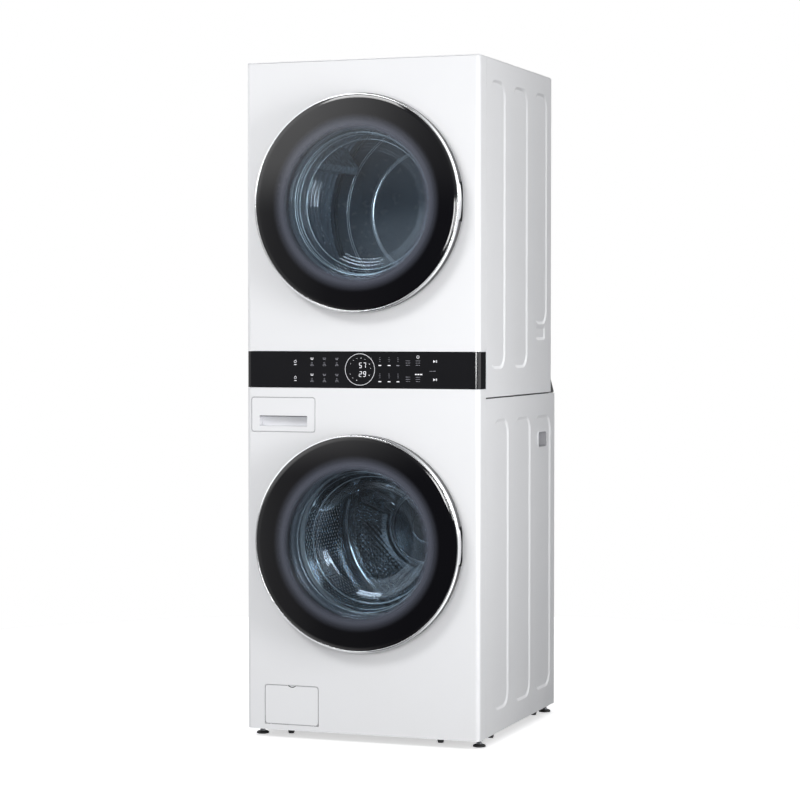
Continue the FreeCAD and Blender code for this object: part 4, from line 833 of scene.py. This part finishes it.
def dryer_rings():
    """Bright rings pressed in the rear bulkhead, and bright hoops over some of the drum's beads."""
    turns = [pi * i / 10 for i in range(11)]
    rings, hoops = Shape(), Shape()
    for r, half, rise in ((190.5, 8.0, 6.5), (268.5, 1.7, 2.2), (274.5, 1.7, 2.2)):
        section = [(r + half * cos(t), 600.0 - rise * sin(t)) for t in turns]
        rings.turn(section, DRYER_Z, 160, closed=True)
    rings.piece("bulkhead_rings", "ring_steel", "cabinet", "galvanised_sheet", (), 50)
    for depth, half in ((365.0, 2.5), (445.0, 2.5), (485.0, 4.0), (525.0, 2.5), (562.0, 2.5)):
        section = [(DRYER_R + 0.3 - 5.0 * sin(t), depth + half * cos(t)) for t in turns]
        hoops.turn(section, DRYER_Z, 160, closed=True)
    hoops.piece("dryer_drum_hoops", "hoop_steel", "dryer_drum_unit", "grey_coat", (), 50)


def dryer_lifters():
    """Smooth and without holes."""
    half = degrees(41.0 / 317.0)

    def form(s, t):
        fade = min(1.0, sin(pi * t) * 5.0) ** 0.5
        rise = 65.0 * fade * min(1.0, cos(s * pi / 2) ** 1.3 * 1.15)
        return 313.6 - rise, s * half * (0.75 + 0.25 * fade), 126 + 436 * t

    lifter_piece("dryer", "lifter_coat", "grey_coat", "dryer_drum_lifters", DRYER_Z,
                 (-90.0, 30.0, 150.0), 30, 14, form, lambda i, j: False, 0.0015)


# ---------------- soft and sprung pieces that cross the tub's joint

def gasket_piece():
    """The rubber bellows: a clamped lip with a spring groove, two soft folds and the tub's seat."""
    outline = [
        (204.6, -0.8), (212.6, -0.8), (213.2, 2.0), (219.6, 2.2), (219.8, 5.6), (216.2, 9.6), (216.2, 24),
        (229.4, 30), (229.4, 37.8), (213.4, 44), (216.8, 54), (216.8, 61.4), (207.0, 61.4), (206.8, 52),
        (208.4, 41.4), (223.6, 35.4), (223.6, 32.6), (208.2, 28), (204.6, 14),
    ]
    shape = Shape().turn(soften(outline, 4.5, 4), WASHER_Z, 144, closed=True)
    made = shape.piece("gasket_bellows", "grey_rubber", None, "grey_rubber", ["door_gasket"], 60)
    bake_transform(made)


def spring_pieces():
    """Two coil springs with straight ends on their axis, between the deck and the tub."""
    low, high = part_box("suspension_springs")
    y = (low.y + high.y) / 2
    spring_r, wire = 0.014, 0.0019
    coil_r = spring_r - wire - 0.0004
    turns, steps = 17, 18
    bottom, top = low.z + 0.012, high.z - 0.012
    for side, x in (("left", low.x + spring_r), ("right", high.x - spring_r)):
        path = [(x, y, low.z + 0.002), (x, y, low.z + 0.007)]
        for i in range(turns * steps + 1):
            t = i / (turns * steps)
            r = coil_r * min(1.0, t * turns * 0.7, (1 - t) * turns * 0.7)
            angle = tau * i / steps
            path.append((x + r * cos(angle), y + r * sin(angle), bottom + (top - bottom) * t))
        path += [(x, y, high.z - 0.007), (x, y, high.z - 0.002)]
        shape = Shape().add(*tube(path, wire, 10))
        name = "tub_spring_" + side
        made = shape.piece(name, "spring_steel", None, "spring_steel", ["suspension_springs"], 60)
        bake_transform(made)


# ---------------- control strip

SEGMENTS = {"2": "abged", "5": "afgcd", "7": "abc", "9": "abcdfg"}


class Print(Shape):
    """Marks printed on the strip's glass, placed in mm from the middle of the strip."""

    back, face = STRIP_LOW.y + 0.0002, STRIP_LOW.y - 0.00025

    def mark(self, outline, edge=0.1):
        places = [(x * MM, STRIP_Z + z * MM) for x, z in outline]
        self.add(*chip(places, self.back, self.face, edge * MM))

    def ring(self, x, z, radius, width, segments):
        inner, outer = (radius - width / 2) * MM, (radius + width / 2) * MM
        section = [(inner, self.back), (outer, self.back), (outer, self.face), (inner, self.face)]
        self.add(*lathe(section, (x * MM, 0, STRIP_Z + z * MM), segments=segments, closed=True))

    def digit(self, figure, x, z, size):
        """A seven-segment figure."""
        w, h, t = size * 0.5, size, size * 0.13
        bars = {
            "a": (0, h / 2, w, t), "g": (0, 0, w, t), "d": (0, -h / 2, w, t),
            "f": (-w / 2, h / 4, t, h / 2), "b": (w / 2, h / 4, t, h / 2),
            "e": (-w / 2, -h / 4, t, h / 2), "c": (w / 2, -h / 4, t, h / 2),
        }
        for key in SEGMENTS[figure]:
            dx, dz, bw, bh = bars[key]
            lean = dz * 0.12
            self.mark(rectangle(x + dx + lean, z + dz, bw * 0.92, bh * 0.92, t * 0.4), t * 0.2)

    def dashes(self, x, z, rows, height=1.6, pitch=3.4):
        """Short printed dashes of these widths, row under row, in place of lettering."""
        gap = 1.1
        for row, words in enumerate(rows):
            left = x - (sum(words) + gap * (len(words) - 1)) / 2
            for word in words:
                self.mark(rectangle(left + word / 2, z - row * pitch, word, height, height * 0.45))
                left += word + gap


def strip_prints():
    """Touch fields printed on the strip: the round display with two figures, icons, options and start."""
    display_x, display_z = -3.6, 1.1
    bright, dim = Print(), Print()
    bright.ring(display_x, display_z, 43.3, 1, 96)
    for dz, figures in ((11.5, "57"), (-12.5, "29")):
        for i, figure in enumerate(figures):
            bright.digit(figure, display_x + 1.5 + 11.8 * i, display_z + dz, 13.5)
    for angle in (150, 128, 106, 84, 62, 205, 228, 252, 28, 6, -30):
        a = radians(angle)
        size = 2.2 if angle in (84, 252, 28, -30) else 1.5
        spot = (display_x + 31.5 * cos(a), display_z + 31.5 * sin(a))
        bright.mark(rectangle(*spot, size, size, size * 0.45))
    for half, z in (("upper", 22.1), ("lower", -22.4)):
        power_x = -196
        bright.ring(power_x, z, 3.4, 0.8, 24)
        bright.mark(rectangle(power_x, z + 3.2, 0.8, 3.4, 0.3))
        bright.dashes(power_x, z - 8.5, [(7.5,)])
        for column, x in enumerate((-146, -109, -72)):
            (dim if column else bright).dashes(x, z + 9.5, [(4.5, 4), (7,)])
            dim.ring(x, z - 3, 1.6, 0.6, 16)
            dim.dashes(x, z - 7.5, [(8,), (5, 4)], 1.2)
        for column, x in enumerate((55, 82, 108)):
            dim.dashes(x, z + 11.5, [(3,), (4.5,), (3,)], 1.2, 5.2)
            (bright if half == "lower" or column < 2 else dim).dashes(x, z - 9.5, [(8.5,)], 2.6)
        for x in (137, 166):
            dim.dashes(x, z + 3.5, [(9, 3), (6, 6)], 1.2, 6)
            dim.dashes(x, z - 8.5, [(7, 4)], 1.2)
    bright.dashes(168, -11.5, [(6, 6, 7)], 3)
    bright.ring(166, 36, 3.6, 1.2, 20)
    for z in (24.3, -25.6):
        bright.mark([(210.5, z - 3.6), (216.5, z), (210.5, z + 3.6)])
        for x in (218.5, 220.5):
            bright.mark(rectangle(x, z, 1.1, 6.6, 0.4))
    dim.dashes(208, -2.5, [(8, 9)], 1.4)
    bright.piece("strip_prints_bright", "print_bright", "cabinet", "white_plastic")
    dim.piece("strip_prints_dim", "print_dim", "cabinet", "grey_plastic")


# ---------------- drawer, hatch and grips

def drawer_strip():
    """A dark grey strip under the lip of the drawer's pull: painted shade along the recess's top edge."""
    low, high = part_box("drawer_front")
    x0, x1, top = low.x + 0.0225, high.x - 0.0245, low.z + 0.0448
    y0 = low.y + 0.0008
    shape = Shape().add(*block(x0, x1, y0, y0 + 0.004, top - 0.0022, top + 0.0004, 0.0004))
    shape.piece("drawer_shade_strip", "drawer_shade_rubber", "drawer", "grey_rubber")


def drawer_recess():
    """The lining of the finger recess, which runs up behind the lip, made grey as painted shade in the recess.
    """
    low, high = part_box("drawer_front")
    x0, x1, z0, lip = low.x + 0.0241, high.x - 0.0236, low.z + 0.0156, low.z + 0.0445
    wall, mouth, behind_lip, rear, step = 0.0006, 0.001, 0.0064, 0.0237, 0.0002
    roof = lip + 0.0088
    rings = (
        (0, rear, roof), (0, behind_lip, roof), (0, behind_lip - step, lip), (0, mouth, lip),
        (wall, mouth, lip), (wall, behind_lip + wall, lip), (wall, behind_lip + wall + step, roof),
        (wall, rear - wall, roof),
    )
    lining = [upright_ring(x0 + w, x1 - w, z0 + w, top - w, low.y + depth, 0.0015) for w, depth, top in rings]
    Shape().add(*skin(lining)).piece("drawer_recess", "recess_shade_plastic", "drawer", "white_plastic")


def grip_liners():
    """Linings of the hand grips in the washer's sides, made dark grey as painted shade in the pockets."""
    side_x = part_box("washer_right_panel")[1].x
    y, z, length, height, radius = FRONT + 0.6, 0.822, 0.0794, 0.0434, 0.0087
    mouth, rear, wall = 0.001, 0.0222, 0.0006
    for side, sign in (("left", -1), ("right", 1)):
        rings = []
        for inset, depth in ((0.0, rear), (0.0, mouth), (wall, mouth), (wall, rear - wall)):
            outline = rectangle(y, z, length - 2 * inset, height - 2 * inset, radius)
            rings.append([(sign * (side_x - depth), a, b) for a, b in outline])
        Shape().add(*skin(rings)).piece("grip_liner_" + side, "grip_shade_plastic", "cabinet", "grey_plastic")


def hatch_corners():
    """Webs that fill the gap between the hatch's rounded CAD corners and its square lower corners."""
    low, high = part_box("drain_filter_hatch")
    webs = Shape()
    corner, plate, overlap, thick = 0.0025, 0.0071, 0.0003, 0.0025
    inner = plate - overlap
    for edge, sign in ((low.x, 1), (high.x, -1)):
        outline = [(edge, low.z + plate)]
        for t in range(5):
            a = pi / 2 * t / 4
            outline.append((edge + sign * corner * (1 - sin(a)), low.z + corner * (1 - cos(a))))
        outline.append((edge + sign * plate, low.z))
        for t in range(1, 6):
            a = pi / 2 * t / 6
            outline.append((edge + sign * (plate - inner * sin(a)), low.z + plate - inner * cos(a)))
        webs.add(*prism(outline, FRONT, FRONT + thick))
    webs.piece("hatch_corners", "white_plastic", "filter_hatch", "white_plastic")


def hatch_scoop():
    """The dished finger scoop behind the hatch's notch, cut off by a chord, and the moat round it, made black
    as painted shade.
    """
    low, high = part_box("drain_filter_hatch")
    centre = Vector((low.x + high.x + 0.0015, 0.0, 2 * high.z + 0.022)) / 2
    chord, outer_r, steps = 0.0112, 0.0188, 20
    reach = acos(chord / outer_r)
    dish = [(2, 2.2), (14.2, 2.2), (14.6, 2.6), (14.6, 6.6), (2, 6.6)]
    moat = [(14.4, 5.6), (17.4, 5.6), (18.6, 2.6), (18.8, 3.4), (18, 7.2), (14.4, 7.2)]
    # The moat's black plastic paints the shade in the channel round the scoop.
    pieces = (("hatch_scoop", "white_plastic", dish), ("hatch_scoop_shade_moat", "black_plastic", moat))
    for name, material, profile in pieces:
        sections = []
        for k in range(steps + 1):
            angle = reach * (2 * k / steps - 1)
            radii = [(max(r, chord / cos(angle)), d) for r, d in metres(profile)]
            across, down = sin(angle), cos(angle)
            sections.append([(centre.x + r * across, FRONT + d, centre.z - r * down) for r, d in radii])
        Shape().add(*skin(sections)).piece(name, material, "filter_hatch", material)


# Where the notch in the hatch's top begins and ends.
HATCH_NOTCH = (-0.2222, -0.1938)


def reveal(name, node, body, radius, notch=()):
    """The soft grey edge round a front cover, a painted shade line for the gap round it, open where the cover's
    top has a notch between two places.
    """
    low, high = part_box(node)
    last_corner = 12
    rings = []
    for inset, y in ((0.0, 0.0004), (0.0002, -0.00012), (0.0016, -0.00012), (0.0019, 0.0004)):
        ring = upright_ring(low.x + inset, high.x - inset, low.z + inset, high.z - inset, FRONT + y, radius)
        if notch:
            ends = [(x, FRONT + y, high.z - inset) for x in notch]
            ring = ends[:1] + ring[last_corner:] + ring[:last_corner] + ends[1:]
        rings.append(ring)
    sections = [list(points) for points in zip(*rings)]
    Shape().add(*skin(sections, not notch)).piece(name, "seam_shade_plastic", body, "white_plastic")


# ---------------- top, feet and back

def top_cover():
    """The dryer's top: a rolled edge and a shallow pressed field."""
    low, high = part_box("dryer_top_cover")
    x, y, top = (low.x + high.x) / 2, (low.y + high.y) / 2, high.z
    width, depth = high.x - low.x, high.y - low.y
    levels = (
        (0.0008, low.z, 0.008), (0.0, low.z + 0.0007, 0.008), (0.0, top - 0.0012, 0.008),
        (0.0005, top - 0.0004, 0.008), (0.0015, top, 0.008), (0.038, top, 0.03),
        (0.041, top - 0.0005, 0.03), (0.045, top - 0.0013, 0.03), (0.049, top - 0.0016, 0.03),
    )
    rings = []
    for inset, z, radius in levels:
        outline = soften(rectangle(x, y, width - 2 * inset, depth - 2 * inset), radius, 6)
        rings.append([(px, py, z) for px, py in outline])
    shape = Shape().add(*skin(rings))
    shape.piece("top_cover_pressed", "white_enamel", "cabinet", "white_enamel", ["dryer_top_cover"], 20)


def foot_pieces():
    """Levelling feet: ribbed rubber pad, hexagon flange and a rolled thread."""
    up = (0, 0, 1)
    pad = [(0, 0), (14.5, 0), (17.4, 0.7), (18, 1.6), (17.4, 4.4), (16.2, 6.2), (13.5, 7.4), (9, 8.2)]
    pad += [(0, 8.2)]
    flange = [(0, 8.0), (8.6, 8.0), (8.6, 11.4), (7.8, 12.2), (0, 12.2)]
    root, crest, pitch = 5.35, 5.98, 1.75
    for end in ("front_left", "front_right", "rear_left", "rear_right"):
        low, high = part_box("foot_" + end)
        origin = Vector(((low.x + high.x) / 2, (low.y + high.y) / 2, 0.0))
        shape = Shape().add(*lathe(soften(metres(pad), 0.0008, 3, closed=False), origin, up, 48))
        for i in range(24):
            a = tau * i / 24
            spot = origin + Vector((0.0172 * cos(a), 0.0172 * sin(a), 0))
            top = spot * 0.999 + Vector((0, 0, 0.0046))
            shape.add(*tube([spot + Vector((0, 0, 0.0018)), top], 0.0007, 6))
        shape.piece("pad_" + end, "black_rubber", end + "_foot", "black_rubber", ["foot_" + end])
        thread = [(0.0, 12.0), (5.4, 12.0)]
        z, top = 12.6, high.z / MM
        while z < top - 2.2:
            thread += [(root, z), (crest, z + 0.7), (crest, z + 0.9), (root, z + 1.6)]
            z += pitch
        thread += [(5.2, top - 0.8), (4.4, top), (0.0, top)]
        stem = Shape().add(*lathe(metres(flange), origin, up, 6))
        stem.add(*lathe(metres(thread), origin, up, 32))
        stem.piece("stem_" + end, "spring_steel", end + "_foot", "spring_steel")


def rear_details():
    """Hexagon screws round the back sheets, pressed ribs and the louvres beside the motor."""
    washer_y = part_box("washer_rear_panel")[1].y
    dryer_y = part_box("dryer_rear_panel")[1].y
    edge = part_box("washer_rear_panel")[1].x - 0.009
    backward = (0, 1, 0)
    screws, ribs = Shape(), Shape()
    for y, z0, z1 in ((washer_y, 0.05, 0.915), (dryer_y, 0.985, 1.865)):
        for i in range(6):
            for x in (-edge, edge):
                hex_screw(screws, (x, y, z0 + (z1 - z0) * i / 5), backward, 0.004)
        for x in (-0.15, 0.15):
            hex_screw(screws, (x, y, z1), backward, 0.004)
    width = 0.022
    for y, z0, z1, places in ((washer_y, 0.11, 0.82, (-0.2, 0.0, 0.2)), (dryer_y, 1.26, 1.8, (-0.2, 0.2))):
        for x in places:
            outline = rectangle(x, (z0 + z1) / 2, width, z1 - z0, width * 0.45)
            ribs.add(*chip(outline, y - 0.0002, y + 0.0016, 0.004))
    x0, x1, pitch, sunk, rise = 0.12, 0.26, 0.022, dryer_y - 0.0002, dryer_y + 0.005
    for i in range(9):
        z = 1.02 + pitch * i
        mouth = [(x0, sunk, z), (x1, sunk, z), (x1, sunk, z + 0.009), (x0, sunk, z + 0.009)]
        hood = [(x0 + 0.004, rise, z + 0.001), (x1 - 0.004, rise, z + 0.001)]
        ribs.add(mouth + hood, [(0, 1, 5, 4), (1, 2, 5), (2, 3, 4, 5), (3, 0, 4), (0, 3, 2, 1)])
    screws.piece("rear_screws", "spring_steel", "cabinet", "spring_steel")
    ribs.piece("rear_pressings", "galvanised_sheet", "cabinet", "galvanised_sheet", (), 50)


def make_pieces():
    for door, height in (("washer", WASHER_Z), ("dryer", DRYER_Z)):
        for make in (cover_glass_piece, bezel_piece, bowl_piece, bowl_beads, door_back_details):
            make(door, height)
    washer_shell()
    washer_back()
    washer_diamonds()
    washer_hub()
    washer_lifters()
    dryer_shell()
    dryer_rings()
    dryer_lifters()
    gasket_piece()
    spring_pieces()
    strip_prints()
    drawer_strip()
    drawer_recess()
    grip_liners()
    hatch_corners()
    hatch_scoop()
    reveal("drawer_reveal", "drawer_front", "drawer", 0.006)
    reveal("hatch_reveal", "drain_filter_hatch", "filter_hatch", 0.007, HATCH_NOTCH)
    top_cover()
    foot_pieces()
    rear_details()


make_pieces()


# ---------------- studio

def link(name, data):
    made = bpy.data.objects.new(name, data)
    bpy.context.scene.collection.objects.link(made)
    return made


def area_light(name, place, aim, size, power, spread=180.0, mirrored=True):
    """A soft rectangular lamp. One that isn't mirrored lights matt surfaces only."""
    light = bpy.data.lights.new(name, "AREA")
    light.spread = radians(spread)
    light.shape = "RECTANGLE"
    light.size, light.size_y = size
    light.energy = power
    lamp = link(name, light)
    lamp.location = place
    lamp.rotation_mode = "QUATERNION"
    lamp.rotation_quaternion = (Vector(aim) - Vector(place)).to_track_quat("-Z", "Y")
    lamp.visible_camera = False
    lamp.visible_glossy = mirrored


def levels(room, direction, stops, most):
    """Brightness along one axis of the room, -1 to 1, as a smooth ramp of (place, brightness) stops."""
    shift = room.add("Math", {0: direction, 1: 0.5, 2: 0.5}, operation="MULTIPLY_ADD")
    node = room.add("ValToRGB", {0: shift.outputs[0]})
    ramp = node.color_ramp
    ramp.interpolation = "EASE"
    ramp.elements[0].position = stops[0][0]
    ramp.elements[1].position = stops[-1][0]
    for place, _ in stops[1:-1]:
        ramp.elements.new(place)
    for element, (_, level) in zip(ramp.elements, stops):
        element.color = (level / most, level / most, level / most, 1.0)
    return room.times(node.outputs[0], most)


# What mirrors see from left to right: dim on the left, dark in the middle, bright on the right.
MIRRORED_ACROSS = (
    (0.0, 0.5), (0.2, 0.6), (0.25, 0.3), (0.3, 0.1), (0.38, 0.045), (0.6, 0.03), (0.74, 0.03), (0.84, 0.7),
    (0.92, 1.0), (1.0, 1.1),
)

# What they see from below upwards, and how much of it stays from left to right.
MIRRORED_UPRIGHT = (
    (0.0, 1.0), (0.25, 0.8), (0.36, 0.0), (0.515, 0.0), (0.57, 1.2), (0.64, 1.5), (0.85, 1.2), (1.0, 0.9),
)
MIRRORED_SHARE = ((0.0, 1.0), (0.27, 1.0), (0.41, 0.12), (0.55, 0.3), (0.75, 1.0), (1.0, 1.0))
EVEN_LIGHT = ((0.0, 0.2), (0.45, 0.35), (1.0, 0.46))


def surround():
    """The room: white where it is seen, even light on matt surfaces, and soft bright windows in mirrors."""
    world = bpy.data.worlds.new("studio")
    bpy.context.scene.world = world
    room = Tree(world, "OutputWorld")

    def background(strength, tint):
        return room.add("Background", {"Color": tint, "Strength": strength}).outputs[0]

    place = room.add("TexCoord").outputs["Generated"]
    x, _, z = room.add("SeparateXYZ", {0: place}).outputs
    upright = levels(room, z, MIRRORED_UPRIGHT, 1.5)
    share = levels(room, x, MIRRORED_SHARE, 1.0)
    mirrored = room.plus(levels(room, x, MIRRORED_ACROSS, 1.5), room.times(upright, share))
    path = room.add("LightPath")
    even = background(levels(room, z, EVEN_LIGHT, 1.0), (0.97, 0.98, 1.0))
    lit = room.mix(path.outputs["Is Glossy Ray"], even, background(mirrored, (1, 1, 1)))
    seen = room.mix(path.outputs["Is Camera Ray"], lit, background(1.0, (1, 1, 1)))
    room.put(room.out.inputs["Surface"], seen)


def pale_floor():
    mesh = bpy.data.meshes.new("floor")
    reach, sides = 2.6, 96
    turns = [tau * i / sides for i in range(sides)]
    rim = [(reach * cos(t), reach * sin(t), 0.0) for t in turns]
    mesh.from_pydata(rim, [], [tuple(range(sides))])
    floor = link("floor", mesh)
    n = Nodes("floor")
    tone = n.blend(n.noise(0.6, 3.0), (0.9, 0.9, 0.905), (0.93, 0.93, 0.935))
    glow = {"Emission_Color": (1, 1, 1), "Emission_Strength": 0.55}
    mesh.materials.append(n.done(tone, 0.7, Specular_IOR_Level=0.1, **glow))
    floor.visible_glossy = False
    floor.visible_diffuse = False


def camera():
    """The photograph's camera, fitted to the cabinet's corners."""
    data = bpy.data.cameras.new("camera")
    data.sensor_width = 36.0
    data.lens = 107.06
    data.clip_end = 100.0
    made = link("camera", data)
    azimuth, pitch = radians(19.983), radians(-1.827)
    look = Vector((-sin(azimuth) * cos(pitch), cos(azimuth) * cos(pitch), sin(pitch)))
    made.location = (2.34304, -6.46648, 1.15925)
    made.rotation_mode = "QUATERNION"
    made.rotation_quaternion = look.to_track_quat("-Z", "Y")
    bpy.context.scene.camera = made


def studio():
    """A pale floor, a white surround, soft lamps, and the camera."""
    pale_floor()
    surround()
    area_light("key", (-1.6, -4.6, 4.3), (0, -0.3, 1.3), (2.0, 1.4), 100)
    area_light("fill", (0.15, -5.2, 1.3), (0, 0, 0.9), (0.6, 0.9), 36)
    area_light("inside", (1.35, -5.0, 1.35), (0, 0, 0.9), (0.5, 0.9), 32)
    area_light("side", (2.5, -1.2, 1.1), (0.34, -0.55, 1.0), (0.5, 2.2), 9.5, spread=72.0, mirrored=False)
    area_light("left_side", (-3.2, 0.6, 1.3), (-0.34, 0.0, 0.95), (1.2, 2.2), 17, mirrored=False)
    area_light("above", (0.1, 0.9, 4.6), (0.0, 0.1, 1.9), (1.6, 1.6), 16, mirrored=False)
    area_light("back", (-2.5, 4.5, 3.5), (0, 0, 1.0), (2.5, 2.5), 40)
    camera()
    bpy.context.scene.view_settings.view_transform = "Standard"


studio()
